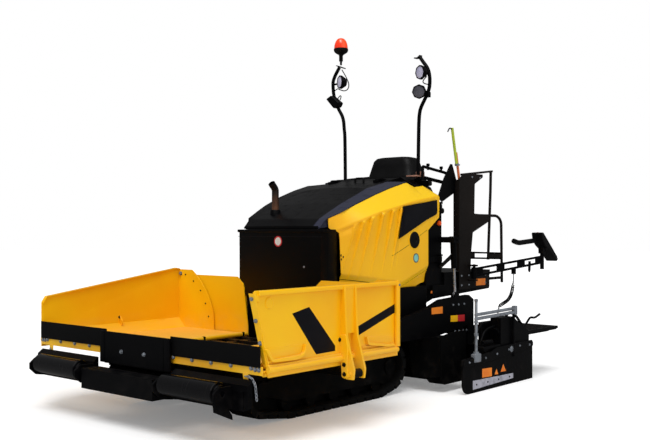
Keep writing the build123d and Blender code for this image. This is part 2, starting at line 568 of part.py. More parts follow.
# ---- rear cowl: fixed body between the hood and the platform ----
door_axis_y = body_rear_y - 60.0
door_axis_x = body_half - 4.0
hinge_pin_radius = 11.0
strap_z = (1400.0, 1990.0)
cowl_front_y = body_rear_y - 530.0
cowl_solid_y = body_rear_y - 310.0
hood_axis_y = cowl_front_y
hood_axis_z = 2296.0
hood_hinge_x = (-330.0, 330.0)
cowl_half = body_half - 30.0
mast_y = body_rear_y - 60.0
mast_foot_z = 2292.0
cowl_low_z = deck_z + seat_gap
hood_edge_x = body_half - 153.0
cowl_shoulder_x = hood_edge_x - 227.0
mast_x = hood_edge_x - 97.0
with BuildPart() as cowl:
    outer = [(-cowl_half, cowl_low_z), (cowl_half, cowl_low_z), (cowl_half, 1950), (hood_edge_x - 20, 2215),
             (cowl_shoulder_x, 2330), (-cowl_shoulder_x, 2330), (-hood_edge_x + 20, 2215), (-cowl_half,
                                                                                            1950)]
    front_profile(outer, cowl_solid_y, body_rear_y)
    # top plate that carries the hood's rear edge
    side_profile([(cowl_front_y + 8, 2282), (cowl_solid_y + 1, 2325), (cowl_solid_y + 1, 2285),
                  (cowl_front_y + 8, 2240)], -cowl_shoulder_x, cowl_shoulder_x)
    for x in hood_hinge_x:
        for low in (x - 46, x + 34):
            side_profile([(cowl_front_y + 90, 2260), (cowl_front_y + 90, hood_axis_z + 4),
                          (hood_axis_y + 20, 2308),
                          (hood_axis_y - 4, 2308), (hood_axis_y - 12, hood_axis_z), (hood_axis_y - 4, 2285),
                          (hood_axis_y + 14, 2276), (cowl_front_y + 20, 2260)], low, low + 12)
        bar((x - 46, hood_axis_y, hood_axis_z), (x + 46, hood_axis_y, hood_axis_z), 8)
    for sign in (1, -1):
        block(sorted((sign * 400, sign * 460)), (cowl_front_y + 60, cowl_solid_y + 1), (cowl_low_z, 2250))
        # lugs and pins of the door hinges
        for z in strap_z:
            for low in (z - 56, z + 34):
                block(sorted((sign * (cowl_half - 60), sign * (door_axis_x + 18))),
                      (door_axis_y - 20, door_axis_y + 20), (low, low + 22))
            bar((sign * door_axis_x, door_axis_y, z - 56), (sign * door_axis_x, door_axis_y, z + 56),
                hinge_pin_radius)
        # pad under the light mast
        block(sorted((sign * (mast_x - 50), sign * (mast_x + 50))), (mast_y - 50, mast_y + 50),
              (2200, mast_foot_z - seat_gap))
        # bracket for the screed lift cylinder
        block(sorted((sign * (cowl_half - 5), sign * (lift_x + 62))), (lift_y - 85, lift_y - 45),
              (lift_top_z - 32, lift_top_z + 32))
        for x in (lift_x - 62, lift_x + 46):
            block(sorted((sign * x, sign * (x + 16))), (lift_y - 46, lift_y + 34),
                  (lift_top_z - 32, lift_top_z + 32))
        bar((sign * (lift_x - 70), lift_y, lift_top_z), (sign * (lift_x + 70), lift_y, lift_top_z),
            lift_pin_radius)
cowl.part.label = "rear_cowl"
export_step(cowl.part, "parts/rear_cowl.step")

# ---- engine hood: a sheet shell hinged along its rear edge ----
hood_wall = 8.0
hood_front_y = rear_wall_y + 45.0
hood_rear_y = cowl_front_y
# sections as (y, side edge x, lower and upper z, shoulder x and z, roof z)
hood_sections = ((hood_front_y, hood_edge_x - 177, 1745.0, 1755.0, 490.0, 1768.0, 1770.0),
                 (hood_front_y + 240, hood_edge_x - 115, 1775.0, 1870.0, 450.0, 1905.0, 1910.0),
                 (hood_front_y + 870, hood_edge_x - 12, 1985.0, 2085.0, 430.0, 2180.0, 2200.0),
                 (hood_rear_y, hood_edge_x, 2115.0, 2215.0, 450.0, 2270.0, 2290.0))


def hood_faces(wall, drop):
    # the hood's cross-sections, made smaller by a wall and reaching further down
    faces = []
    for y, edge_x, low_z, edge_z, shoulder_x, shoulder_z, roof_z in hood_sections:
        with BuildSketch(Plane.XZ.offset(-y)) as section:
            with BuildLine():
                Polyline((-edge_x + wall, low_z - drop), (-edge_x + wall, edge_z - wall),
                         (-shoulder_x, shoulder_z - wall), (0, roof_z - wall), (shoulder_x,
                                                                                shoulder_z - wall),
                         (edge_x - wall, edge_z - wall), (edge_x - wall, low_z - drop), close=True)
            make_face()
        faces.append(section.sketch.face())
    return faces


stack_x = -300.0
stack_y = rear_wall_y + 280.0
stack_radius = 38.0
stack_foot_z = 1945.0
with BuildPart() as hood:
    loft(hood_faces(0, 0), ruled=True)
    loft(hood_faces(hood_wall, 60), ruled=True, mode=Mode.SUBTRACT)
    # hinge straps and knuckles
    for x in hood_hinge_x:
        block((x - 30, x + 30), (hood_axis_y - 70, hood_axis_y), (2258, hood_axis_z - 6))
        bar((x - 30, hood_axis_y, hood_axis_z), (x + 30, hood_axis_y, hood_axis_z), 16)
        bar((x - 31, hood_axis_y, hood_axis_z), (x + 31, hood_axis_y, hood_axis_z), 8 + pin_play,
            mode=Mode.SUBTRACT)
    # collar that holds the exhaust stack
    bar((stack_x, stack_y, 1890), (stack_x, stack_y, stack_foot_z), stack_radius + 14)
    bar((stack_x, stack_y, 1889), (stack_x, stack_y, stack_foot_z + 1), stack_radius - 4,
        mode=Mode.SUBTRACT)
hood.part.label = "hood"
export_step(hood.part, "parts/hood.step")

# exhaust stack, carried by the hood
with BuildPart() as stack:
    tube([(stack_x, stack_y, stack_foot_z + seat_gap), (stack_x, stack_y, 2170),
          (stack_x, stack_y - 60, 2235)],
         stack_radius, 50)
    tube([(stack_x, stack_y, stack_foot_z - 1), (stack_x, stack_y, 2170), (stack_x, stack_y - 62, 2237)],
         stack_radius - 4, 50, mode=Mode.SUBTRACT)
stack.part.label = "exhaust_stack"
export_step(stack.part, "parts/exhaust_stack.step")

# ---- side doors, hinged at their rear edge ----
door_front_y = rear_wall_y + 80.0
door_wall = 12.0
door_low_z = tank_top_z + 12.0
# side outline as (y, z)
door_outline = [(door_front_y + 180, door_low_z + 105), (door_front_y + 165, 1740),
                (door_front_y + 60, 1800),
                (door_front_y + 60, 2400), (door_axis_y - 22, 2400), (door_axis_y - 22, 2120),
                (door_front_y + 1430, 1740), (door_front_y + 1440, 1290), (door_front_y + 960, door_low_z)]
# cross-sections as (y, x of the side, crease z, x and z of the top edge)
door_sections = ((door_front_y + 59, body_half - 163, 1735.0, hood_edge_x - 127, 1850.0),
                 (door_front_y + 160, body_half - 137, 1760.0, hood_edge_x - 89, 1885.0),
                 (door_front_y + 400, body_half - 55, 1880.0, hood_edge_x - 47, 1985.0),
                 (door_front_y + 750, body_half - 8, 1975.0, hood_edge_x - 3, 2110.0),
                 (door_front_y + 1110, body_half, 2035.0, hood_edge_x + 8, 2215.0),
                 (door_axis_y - 21, body_half, 2125.0, hood_edge_x + 8, 2225.0))
for side, sign in sides:
    door_faces = []
    for y, side_x, crease_z, top_x, top_z in door_sections:
        with BuildSketch(Plane.XZ.offset(-y)) as section:
            with BuildLine():
                Polyline((sign * side_x, door_low_z - 1), (sign * side_x, crease_z), (sign * top_x, top_z),
                         (sign * top_x, top_z - door_wall), (sign * (side_x - door_wall),
                                                             crease_z - door_wall),
                         (sign * (side_x - door_wall), door_low_z - 1), close=True)
            make_face()
        door_faces.append(section.sketch.face())
    with BuildPart() as door:
        loft(door_faces, ruled=True)
        side_profile(door_outline, *sorted((sign * 500, sign * (body_half + 50))), mode=Mode.INTERSECT)
        # straps to the hinge pin
        for z in strap_z:
            block(sorted((sign * (body_half - door_wall), sign * body_half)),
                  (door_axis_y - 320, door_axis_y),
                  (z - 30, z + 30))
            bar((sign * door_axis_x, door_axis_y, z - 30), (sign * door_axis_x, door_axis_y, z + 30), 20)
            bar((sign * door_axis_x, door_axis_y, z - 31), (sign * door_axis_x, door_axis_y, z + 31),
                hinge_pin_radius + pin_play, mode=Mode.SUBTRACT)
    door.part.label = f"side_door_{side}"
    export_step(door.part, f"parts/side_door_{side}.step")

# ---- operator platform with the console pedestal and the seat ----
platform_front_y = body_rear_y + 12.0
platform_half = body_half
skirt_thick = 20.0
skirt_front_y = platform_front_y - 232.0
skirt_low_z = platform_top_z - 287.0
with BuildPart() as platform:
    block((-platform_half, platform_half), (platform_front_y, platform_rear_y),
          (platform_top_z - 60, platform_top_z))
    # joists, the middle pair on the frame's tail
    for x in (-beam_outer_x, beam_outer_x - 30):
        block((x, x + 30), (platform_front_y, platform_rear_y - 40),
              (platform_top_z - platform_deep, platform_top_z - 59))
    # side skirts, which run forward under the doors
    for x in (-platform_half, platform_half - skirt_thick):
        side_profile([(skirt_front_y, skirt_low_z), (skirt_front_y, skirt_low_z + 145),
                      (platform_front_y, skirt_low_z + 145), (platform_front_y, platform_top_z - 59),
                      (platform_rear_y - 20, platform_top_z - 59), (platform_rear_y - 20,
                                                                    skirt_low_z + 60)],
                     x, x + skirt_thick)
    block((-platform_half, platform_half), (platform_rear_y - 70, platform_rear_y - 40),
          (platform_top_z - platform_deep, platform_top_z - 59))
platform.part.label = "operator_platform"
export_step(platform.part, "parts/operator_platform.step")

console_y = body_rear_y + 230.0
console_top_z = 2260.0
with BuildPart() as console:
    side_profile([(platform_front_y + 20, platform_top_z + seat_gap),
                  (console_y + 60, platform_top_z + seat_gap),
                  (console_y + 20, console_top_z), (platform_front_y + 20, console_top_z)], -300, 300)
    with BuildSketch(Plane.XY.offset(console_top_z - 1)):
        with Locations((0, console_y + 30)):
            RectangleRounded(840, 430, 120)
    extrude(amount=60)
    with BuildSketch(Plane.XY.offset(console_top_z + 58)):
        with Locations((0, console_y + 30)):
            RectangleRounded(640, 330, 110)
    extrude(amount=250, taper=5)
    block((-330, 330), (console_y + 15, console_y + 260), (1990, 2030))
console.part.label = "control_console"
export_step(console.part, "parts/control_console.step")

seat_y = platform_rear_y - 330.0
seat_base_z = platform_top_z + seat_height - 90.0
with BuildPart() as seat_base:
    block((-170, 170), (seat_y - 170, seat_y + 170), (platform_top_z + seat_gap, platform_top_z + 40))
    block((-110, 110), (seat_y - 110, seat_y + 110), (platform_top_z + 39, seat_base_z - 20))
    block((-230, 230), (seat_y - 230, seat_y + 235), (seat_base_z - 21, seat_base_z))
    block((-200, 200), (seat_y + 215, seat_y + 235), (seat_base_z - 1, seat_base_z + 420))
seat_base.part.label = "seat_base"
export_step(seat_base.part, "parts/seat_base.step")

with BuildPart() as seat:
    block((-240, 240), (seat_y - 245, seat_y + 205), (seat_base_z + seat_gap, seat_base_z + 95))
    fillet(seat.edges().filter_by(Axis.Z), 40)
    block((-230, 230), (seat_y + 125, seat_y + 215 - seat_gap), (seat_base_z + 90, seat_base_z + 520))
seat.part.label = "operator_seat"
export_step(seat.part, "parts/operator_seat.step")

# ---- columns at the platform's sides with their handrails ----
column_y = (body_rear_y + 256.0, body_rear_y + 516.0)
column_x = (platform_half - 38.0, platform_half + 42.0)
rail_x = platform_half
rail_radius = 19.0
loop_z = (platform_top_z - 130.0, platform_top_z + 550.0)
column_top_z = platform_top_z + 1090.0
waist_z = (platform_top_z + 250.0, platform_top_z + 390.0)
arm_pivot_x = column_x[1] + 60.0
arm_pivot_y = column_y[1] - 30.0
arm_low_z = 1165.0
arm_barrel = 130.0
arm_pin_radius = 16.0
for side, sign in sides:
    with BuildPart() as column:
        block(sorted((sign * (platform_half + seat_gap), sign * column_x[1])), column_y,
              (platform_top_z - 220, platform_top_z + 10))
        side_profile([(column_y[0], platform_top_z + seat_gap), (column_y[0], waist_z[0]),
                      (column_y[0] + 20, waist_z[1]), (column_y[0] + 20, column_top_z),
                      (column_y[1] + 90, column_top_z), (column_y[1] + 60, column_top_z - 260),
                      (column_y[1] - 60, column_top_z - 420), (column_y[1] - 60, waist_z[1]),
                      (column_y[1], waist_z[0]), (column_y[1], platform_top_z + seat_gap)],
                     *sorted((sign * column_x[0], sign * column_x[1])))
        tube([(sign * rail_x, column_y[1] - 60, column_top_z - 25),
              (sign * rail_x, platform_rear_y - 30, column_top_z + 60),
              (sign * rail_x, platform_rear_y - 30, platform_top_z + seat_gap)], rail_radius, 80)
        tube([(sign * rail_x, column_y[1] - 60, loop_z[1]), (sign * rail_x, platform_rear_y + 290,
                                                             loop_z[1]),
              (sign * rail_x, platform_rear_y + 290, loop_z[0]), (sign * rail_x, platform_rear_y - 5,
                                                                  loop_z[0])],
             rail_radius, 110)
        block(sorted((sign * (rail_x - 25), sign * (rail_x + 25))),
              (platform_rear_y + seat_gap, platform_rear_y + 12),
              (loop_z[0] - 50, loop_z[0] + 50))
        if side == "left":
            # bracket and pin of the console arm
            for z in (arm_low_z - 30, arm_low_z + arm_barrel + 10):
                block((column_x[1] - 1, arm_pivot_x + 34), (arm_pivot_y - 34, arm_pivot_y + 34),
                      (z, z + 20))
            bar((arm_pivot_x, arm_pivot_y, arm_low_z - 30),
                (arm_pivot_x, arm_pivot_y, arm_low_z + arm_barrel + 30),
                arm_pin_radius)
    column.part.label = f"platform_column_{side}"
    export_step(column.part, f"parts/platform_column_{side}.step")

# ranging stick clamped to the left column
stick_x = column_x[0] + 38.0
stick_y = column_y[0] - 30.0
with BuildPart() as stick:
    bar((stick_x, stick_y, column_top_z - 236), (stick_x, stick_y, column_top_z + 517), 14)
    for z in (column_top_z - 180, column_top_z - 60):
        block((stick_x - 22, stick_x + 22), (stick_y - 4, column_y[0] + 20 - seat_gap), (z, z + 36))
stick.part.label = "ranging_stick"
export_step(stick.part, "parts/ranging_stick.step")

# ---- light masts, one each side, on the rear cowl ----
mast_radius = 21.0
mast_tops = {"left": 3710.0, "right": 3840.0}
mast_lamps = {"left": (3530.0, 3345.0), "right": (3530.0,)}
for side, sign in sides:
    top = mast_tops[side]
    with BuildPart() as mast:
        tube([(sign * mast_x, mast_y, mast_foot_z + 1), (sign * mast_x, mast_y, 3140),
              (sign * (mast_x + 150), mast_y, 3400),
              (sign * (mast_x + 150), mast_y, 3560), (sign * (mast_x + 40), mast_y, top)], mast_radius, 50)
        bar((sign * mast_x, mast_y, mast_foot_z), (sign * mast_x, mast_y, mast_foot_z + 30), 45)
        for z in mast_lamps[side]:
            front_profile([(sign * (mast_x + 60), z - 60), (sign * (mast_x + 60), z + 60),
                           (sign * (mast_x - 60), z + 60), (sign * (mast_x - 60), z - 60)],
                          mast_y - 130, mast_y - 40)
            bar((sign * mast_x, mast_y - 60, z), (sign * (mast_x + 150), mast_y, z), 14)
        if side == "right":
            # flat seat for the beacon
            bar((-(mast_x + 40), mast_y, top - 12), (-(mast_x + 40), mast_y, top + 16 - seat_gap), 34)
    mast.part.label = f"light_mast_{side}"
    export_step(mast.part, f"parts/light_mast_{side}.step")

with BuildPart() as beacon:
    beacon_x = -(mast_x + 40)
    foot_z = mast_tops["right"] + 16
    bar((beacon_x, mast_y, foot_z), (beacon_x, mast_y, foot_z + 50), 48)
    bar((beacon_x, mast_y, foot_z + 49), (beacon_x, mast_y, beacon_top_z - 40), 62)
    bar((beacon_x, mast_y, beacon_top_z - 41), (beacon_x, mast_y, beacon_top_z), 50)
beacon.part.label = "beacon"
export_step(beacon.part, "parts/beacon.step")

# ---- augers with their drive housing, shelf and end guards ----
auger_shaft_r = 40.0
drive_half = 82.0
guard_x = 1195.0
guard_thick = 12.0
auger_outer_x = guard_x - seat_gap
stub_radius = 18.0
blade_pitch = 150.0
blade_thick = 14.0
with BuildPart() as auger_drive:
    for sign in (1, -1):
        block(sorted((sign * 430, sign * (guard_x + 1))), (auger_y - 170, auger_y + 170),
              (shelf_top_z - 20, shelf_top_z))
        side_profile([(auger_y - 265, shelf_top_z + 60), (auger_y - 265, 150), (auger_y - 200, 85),
                      (auger_y + 225, 85), (auger_y + 225, shelf_top_z + 90), (auger_y - 60,
                                                                               shelf_top_z + 90)],
                     *sorted((sign * guard_x, sign * (guard_x + guard_thick))))
        bar((sign * guard_x, auger_y, auger_z), (sign * (guard_x - 45), auger_y, auger_z), stub_radius)
    block((-440, 440), (auger_y + 110, auger_y + 170), (shelf_top_z - 20, shelf_top_z))
    block((-drive_half, drive_half), (auger_y - 90, auger_y + 111), (auger_z - 95, shelf_top_z))
auger_drive.part.label = "auger_drive"
export_step(auger_drive.part, "parts/auger_drive.step")

for side, sign in sides:
    with BuildPart() as auger:
        bar((sign * (drive_half + seat_gap), auger_y, auger_z), (sign * auger_outer_x, auger_y, auger_z),
            auger_shaft_r)
        bar((sign * (auger_outer_x - 50), auger_y, auger_z), (sign * (auger_outer_x + 1), auger_y, auger_z),
            stub_radius + pin_play, mode=Mode.SUBTRACT)
        # each turn of the flight is two half rings that lean opposite ways
        first_x = drive_half + 60
        turns = int((auger_outer_x - first_x - 40) // blade_pitch)
        lean = math.degrees(math.atan2(blade_pitch / 2, auger_radius + auger_shaft_r))
        for i in range(2 * turns):
            middle_x = sign * (first_x + blade_pitch * (i + 0.5) / 2)
            facing = 1 if i % 2 == 0 else -1
            plane = Plane(origin=(middle_x, auger_y, auger_z), x_dir=(0, 1, 0), z_dir=(1, 0, 0))
            with BuildSketch(plane.rotated((0, sign * facing * lean, 0))) as half_ring:
                Circle(auger_radius)
                Circle(auger_shaft_r - 2, mode=Mode.SUBTRACT)
                with Locations((0, -facing * auger_radius)):
                    Rectangle(3 * auger_radius, 2 * auger_radius, mode=Mode.SUBTRACT)
            extrude(amount=blade_thick / 2, both=True)
    auger.part.label = f"auger_{side}"
    export_step(auger.part, f"parts/auger_{side}.step")

# ---- tow arms from the chassis pins to the screed ----
arm_plate_x = screed_half + seat_gap
lift_eye_y = lift_y + 40.0
lift_eye_z = 1000.0
screed_front_y = body_rear_y + 30.0
screed_rear_y = screed_front_y + 400.0
screed_box_z = 300.0
arm_foot_y = (screed_rear_y - 140.0, screed_rear_y - 10.0)
with BuildPart() as tow_arms:
    for sign in (1, -1):
        low, high = sorted((sign * tow_arm_x[0], sign * tow_arm_x[1]))
        side_profile([(tow_pin_y - 60, tow_pin_z - 50), (tow_pin_y - 60, tow_pin_z + 50),
                      (tow_pin_y, tow_pin_z + 70),
                      (body_rear_y - 480, 890), (body_rear_y - 250, 960), (body_rear_y + 320, 985),
                      (arm_foot_y[1], 930), (arm_foot_y[1], 420), (arm_foot_y[0], 420), (arm_foot_y[0],
                                                                                         640),
                      (body_rear_y - 360, 565), (tow_pin_y, tow_pin_z - 75)], low, high)
        bar((low - 1, tow_pin_y, tow_pin_z), (high + 1, tow_pin_y, tow_pin_z), tow_pin_radius + pin_play,
            mode=Mode.SUBTRACT)
        # foot to the screed's end
        block(sorted((sign * (arm_plate_x + 15), sign * (tow_arm_x[0] + 1))), arm_foot_y, (420, 500))
        block(sorted((sign * arm_plate_x, sign * (arm_plate_x + 16))), (arm_foot_y[0] - 60, arm_foot_y[1]),
              (330, 500))
        # ears for the lift cylinder
        for x in (lift_x - 30, lift_x + 18):
            side_profile([(lift_eye_y - 60, lift_eye_z - 110), (lift_eye_y - 32, lift_eye_z + 30),
                          (lift_eye_y + 32, lift_eye_z + 30), (lift_eye_y + 60, lift_eye_z - 60)],
                         *sorted((sign * x, sign * (x + 12))))
        block(sorted((sign * (lift_x - 18), sign * (lift_x + 18))), (lift_eye_y - 50, lift_eye_y + 50),
              (lift_eye_z - 55, lift_eye_z + 60), mode=Mode.SUBTRACT)
tow_arms.part.label = "tow_arms"
export_step(tow_arms.part, "parts/tow_arms.step")

# ---- screed lift cylinders ----
lift_barrel_r = 34.0
lift_barrel_length = 322.0
lift_rod_r = 15.0
lift_rod_start = 305.0
lift_base = Vector(0, lift_y, lift_top_z)
lift_run = (Vector(0, lift_eye_y, lift_eye_z) - lift_base).normalized()
with BuildPart() as lift_barrels:
    for sign in (1, -1):
        base = Vector(sign * lift_x, lift_y, lift_top_z)
        bar(tuple(base), tuple(base + lift_run * lift_barrel_length), lift_barrel_r)
        bar((base.X - 42, lift_y, lift_top_z), (base.X + 42, lift_y, lift_top_z), lift_barrel_r + 4)
        bar((base.X - 43, lift_y, lift_top_z), (base.X + 43, lift_y, lift_top_z),
            lift_pin_radius + pin_play,
            mode=Mode.SUBTRACT)
        bar(tuple(base + lift_run * 50), tuple(base + lift_run * (lift_barrel_length + 1)),
            lift_rod_r + pin_play,
            mode=Mode.SUBTRACT)
lift_barrels.part.label = "lift_cylinders"
export_step(lift_barrels.part, "parts/lift_cylinders.step")
with BuildPart() as lift_rods:
    for sign in (1, -1):
        base = Vector(sign * lift_x, lift_y, lift_top_z)
        tip = Vector(sign * lift_x, lift_eye_y, lift_eye_z)
        bar(tuple(base + lift_run * lift_rod_start), tuple(tip - lift_run * 16), lift_rod_r)
        bar((tip.X - 13, tip.Y, tip.Z), (tip.X + 13, tip.Y, tip.Z), 27)
        bar((tip.X - 14, tip.Y, tip.Z), (tip.X + 14, tip.Y, tip.Z), 13, mode=Mode.SUBTRACT)
lift_rods.part.label = "lift_rods"
export_step(lift_rods.part, "parts/lift_rods.step")

# ---- screed: main box, sliding extensions, end plates and walkways ----
slide_gap = 20.0
extension_y = (screed_rear_y + slide_gap, screed_rear_y + 480.0)
extension_top_z = 400.0
guide_z = 520.0
guide_radius = 26.0
guide_plates_x = (70.0, screed_half - 60.0)
extension_length = 825.0
guide_rows = {"left": (screed_rear_y + 80.0, screed_rear_y + 300.0),
              "right": (screed_rear_y + 160.0, screed_rear_y + 370.0)}
end_plate_thick = 20.0
corner_radius = 120.0
walkway_deep = 790.0
walkway_z = (525.0, 555.0)
end_front_y = body_rear_y - 550.0
drive_box_top_z = 750.0
with BuildPart() as screed:
    side_profile([(screed_front_y, 60), (screed_front_y + 40, 0), (screed_rear_y, 0),
                  (screed_rear_y, screed_box_z),
                  (screed_rear_y - 20, 480), (screed_front_y + 100, 480), (screed_front_y, 380)],
                 -screed_half, screed_half)
    for x in guide_plates_x:
        for sign in (1, -1):
            low, high = sorted((sign * (x - 14), sign * (x + 14)))
            side_profile([(screed_rear_y - 60, 440), (screed_rear_y - 60, 590), (extension_y[1] - 65, 590),
                          (extension_y[1] - 65, 450), (screed_rear_y, 430)], low, high)
    for rows in guide_rows.values():
        for y in rows:
            bar((-screed_half, y, guide_z), (screed_half, y, guide_z), guide_radius + pin_play,
                mode=Mode.SUBTRACT)
screed.part.label = "screed_body"
export_step(screed.part, "parts/screed_body.step")

for side, sign in sides:
    inner_x = screed_half + extension_out - end_plate_thick - extension_length
    outer_x = screed_half + extension_out
    with BuildPart() as extension:
        side_profile([(extension_y[0], 50), (extension_y[0] + 40, 0), (extension_y[1], 0),
                      (extension_y[1], extension_top_z), (extension_y[0], extension_top_z)],
                     *sorted((sign * inner_x, sign * (outer_x - end_plate_thick + 1))))
        # guide tubes with the plate that holds them
        for y in guide_rows[side]:
            bar((sign * (inner_x - 380), y, guide_z), (sign * (outer_x - 60), y, guide_z), guide_radius)
        block(sorted((sign * (outer_x - 85), sign * (outer_x - 55))), (extension_y[0], extension_y[1]),
              (extension_top_z - 1, guide_z + 60))
        # end plate with a rounded lower front corner
        with BuildSketch(Plane.YZ.offset(sign * (outer_x - end_plate_thick / 2))) as end_face:
            with BuildLine():
                Polyline((end_front_y + corner_radius, 0), (extension_y[1] + 50, 0),
                         (extension_y[1] + 50, 445),
                         (end_front_y, 370), (end_front_y, corner_radius))
                RadiusArc((end_front_y, corner_radius), (end_front_y + corner_radius, 0), -corner_radius)
            make_face()
        extrude(end_face.sketch, amount=end_plate_thick / 2, both=True)
        # screw spindle and lifting tube of the end plate
        spindle_y = end_front_y + 260
        bar((sign * outer_x, spindle_y, 300), (sign * outer_x, spindle_y, 985), 12)
        block(sorted((sign * (outer_x - 25), sign * (outer_x + 25))), (spindle_y - 50, spindle_y + 50),
              (330, 400))
        bar((sign * outer_x, spindle_y - 10, 785), (sign * outer_x, spindle_y + 815, 800), 14)
        bar((sign * outer_x, spindle_y + 805, 300), (sign * outer_x, spindle_y + 805, 812), 16)
        # box with the drive of the end plate
        side_profile([(end_front_y + 810, extension_top_z - 5), (end_front_y + 810, drive_box_top_z),
                      (end_front_y + 1080, drive_box_top_z), (end_front_y + 1440, 560),
                      (end_front_y + 1440, extension_top_z - 5)],
                     *sorted((sign * (outer_x - 150), sign * (outer_x - end_plate_thick + 1))))
        # walkway at the rear
        walk_x = sorted((sign * (inner_x + 15), sign * (outer_x - 20)))
        block(walk_x, (extension_y[1] - 50, extension_y[1] - 50 + walkway_deep), walkway_z)
        for x in (inner_x + 60, outer_x - 90):
            side_profile([(extension_y[1] - 50, extension_top_z - 1),
                          (extension_y[1] - 50, walkway_z[0] + 1),
                          (extension_y[1] - 90 + walkway_deep, walkway_z[0] + 1), (extension_y[1],
                                                                                   extension_top_z - 1)],
                         *sorted((sign * x, sign * (x + 30))))
    extension.part.label = f"screed_extension_{side}"
    export_step(extension.part, f"parts/screed_extension_{side}.step")

# ---- screed control panel on its swing arm, left side ----
panel_x = 1300.0
panel_half = 72.0
panel_y = body_rear_y + 1488.0
panel_foot_z = 1440.0
arm_rise = 85.0
clamp_share = 0.57           # where the cable leaves the arm, from its pivot to the panel's post
clamp_low_z = 1200.0
clamp_x = arm_pivot_x + clamp_share * (panel_x - arm_pivot_x)
clamp_y = arm_pivot_y + clamp_share * (panel_y - arm_pivot_y)
with BuildPart() as console_arm:
    bar((arm_pivot_x, arm_pivot_y, arm_low_z), (arm_pivot_x, arm_pivot_y, arm_low_z + arm_barrel), 34)
    for z in (arm_low_z + 28, arm_low_z + arm_barrel - 28):
        bar((arm_pivot_x, arm_pivot_y, z), (panel_x, panel_y, z + arm_rise), 17)
    bar((arm_pivot_x, arm_pivot_y, arm_low_z - 1), (arm_pivot_x, arm_pivot_y, arm_low_z + arm_barrel + 1),
        arm_pin_radius + pin_play, mode=Mode.SUBTRACT)
    bar((panel_x, panel_y, arm_low_z + 85), (panel_x, panel_y, panel_foot_z - seat_gap), 24)
    block((clamp_x - 22, clamp_x + 22), (clamp_y - 22, clamp_y + 22), (clamp_low_z, clamp_low_z + 50))
console_arm.part.label = "console_arm"
export_step(console_arm.part, "parts/console_arm.step")

with BuildPart() as panel:
    side_profile([(panel_y - 138, 1700), (panel_y - 115, 1606), (panel_y + 30, 1498), (panel_y + 250, 1335),
                  (panel_y + 302, 1375), (panel_y - 110, 1712)], panel_x - panel_half, panel_x + panel_half)
    block((panel_x - 35, panel_x + 35), (panel_y - 35, panel_y + 35), (panel_foot_z, 1540))
panel.part.label = "control_panel"
export_step(panel.part, "parts/control_panel.step")

# ---- curly cable from the arm down to the left extension's drive box ----
cable_radius = 13.0
cable_foot = (1312.0, end_front_y + 952.0)
cable_points = [(clamp_x, clamp_y, clamp_low_z), (clamp_x, clamp_y, 1125),
                (clamp_x + 12, clamp_y - 55, 1050),
                (clamp_x + 36, clamp_y - 155, 985), (clamp_x + 68, clamp_y - 280, 935),
                (clamp_x + 102, clamp_y - 410, 900), (clamp_x + 132, clamp_y - 530, 876),
                (*cable_foot, 850), (*cable_foot, drive_box_top_z)]
cable_bends = []
for before, corner, after in zip(cable_points, cable_points[1:], cable_points[2:]):
    run_in = Vector(*corner) - Vector(*before)
    run_out = Vector(*after) - Vector(*corner)
    half_turn = math.radians(run_in.get_angle(run_out)) / 2
    cable_bends.append(0.45 * min(run_in.length, run_out.length) / math.tan(half_turn))
print("cable bends", [round(r) for r in cable_bends], "clamp", round(clamp_x, 1), round(clamp_y, 1))
with BuildPart() as cable:
    with BuildLine() as cable_run:
        FilletPolyline(*cable_points, radius=cable_bends)
    with BuildSketch(Plane(origin=cable_run.line @ 0, z_dir=cable_run.line % 0)):
        Circle(cable_radius)
    sweep(path=cable_run.line)
print("cable length", round(cable_run.wire().length), "volume ratio",
      round(cable.part.volume / (math.pi * cable_radius ** 2 * cable_run.wire().length), 4))
cable.part.label = "control_cable"
export_step(cable.part, "parts/control_cable.step")
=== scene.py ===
# Tracked asphalt paver: the finish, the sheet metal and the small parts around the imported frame
import json
import math

import bmesh
import bpy
import numpy as np
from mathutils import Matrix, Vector


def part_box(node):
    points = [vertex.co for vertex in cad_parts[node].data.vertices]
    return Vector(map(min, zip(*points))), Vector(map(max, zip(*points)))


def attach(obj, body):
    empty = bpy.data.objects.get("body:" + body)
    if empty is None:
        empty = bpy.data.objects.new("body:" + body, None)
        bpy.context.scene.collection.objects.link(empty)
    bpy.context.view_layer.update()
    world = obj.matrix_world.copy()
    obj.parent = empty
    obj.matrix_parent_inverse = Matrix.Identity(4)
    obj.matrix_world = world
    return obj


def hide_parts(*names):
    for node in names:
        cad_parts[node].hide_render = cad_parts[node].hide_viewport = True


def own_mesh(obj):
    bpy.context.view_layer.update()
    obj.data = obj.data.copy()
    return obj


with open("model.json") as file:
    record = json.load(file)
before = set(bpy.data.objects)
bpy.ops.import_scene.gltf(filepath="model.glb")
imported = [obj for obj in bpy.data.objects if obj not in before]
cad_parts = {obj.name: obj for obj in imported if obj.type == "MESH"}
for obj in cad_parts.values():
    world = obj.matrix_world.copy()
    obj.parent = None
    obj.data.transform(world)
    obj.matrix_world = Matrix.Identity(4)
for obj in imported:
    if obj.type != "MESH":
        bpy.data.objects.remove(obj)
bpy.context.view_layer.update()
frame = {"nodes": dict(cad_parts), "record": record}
print("frame loaded,", len(frame["nodes"]), "nodes")

sides = (("left", 1), ("right", -1))
finishes = {}
outward, ahead, up = (1, 0, 0), (0, -1, 0), (0, 0, 1)


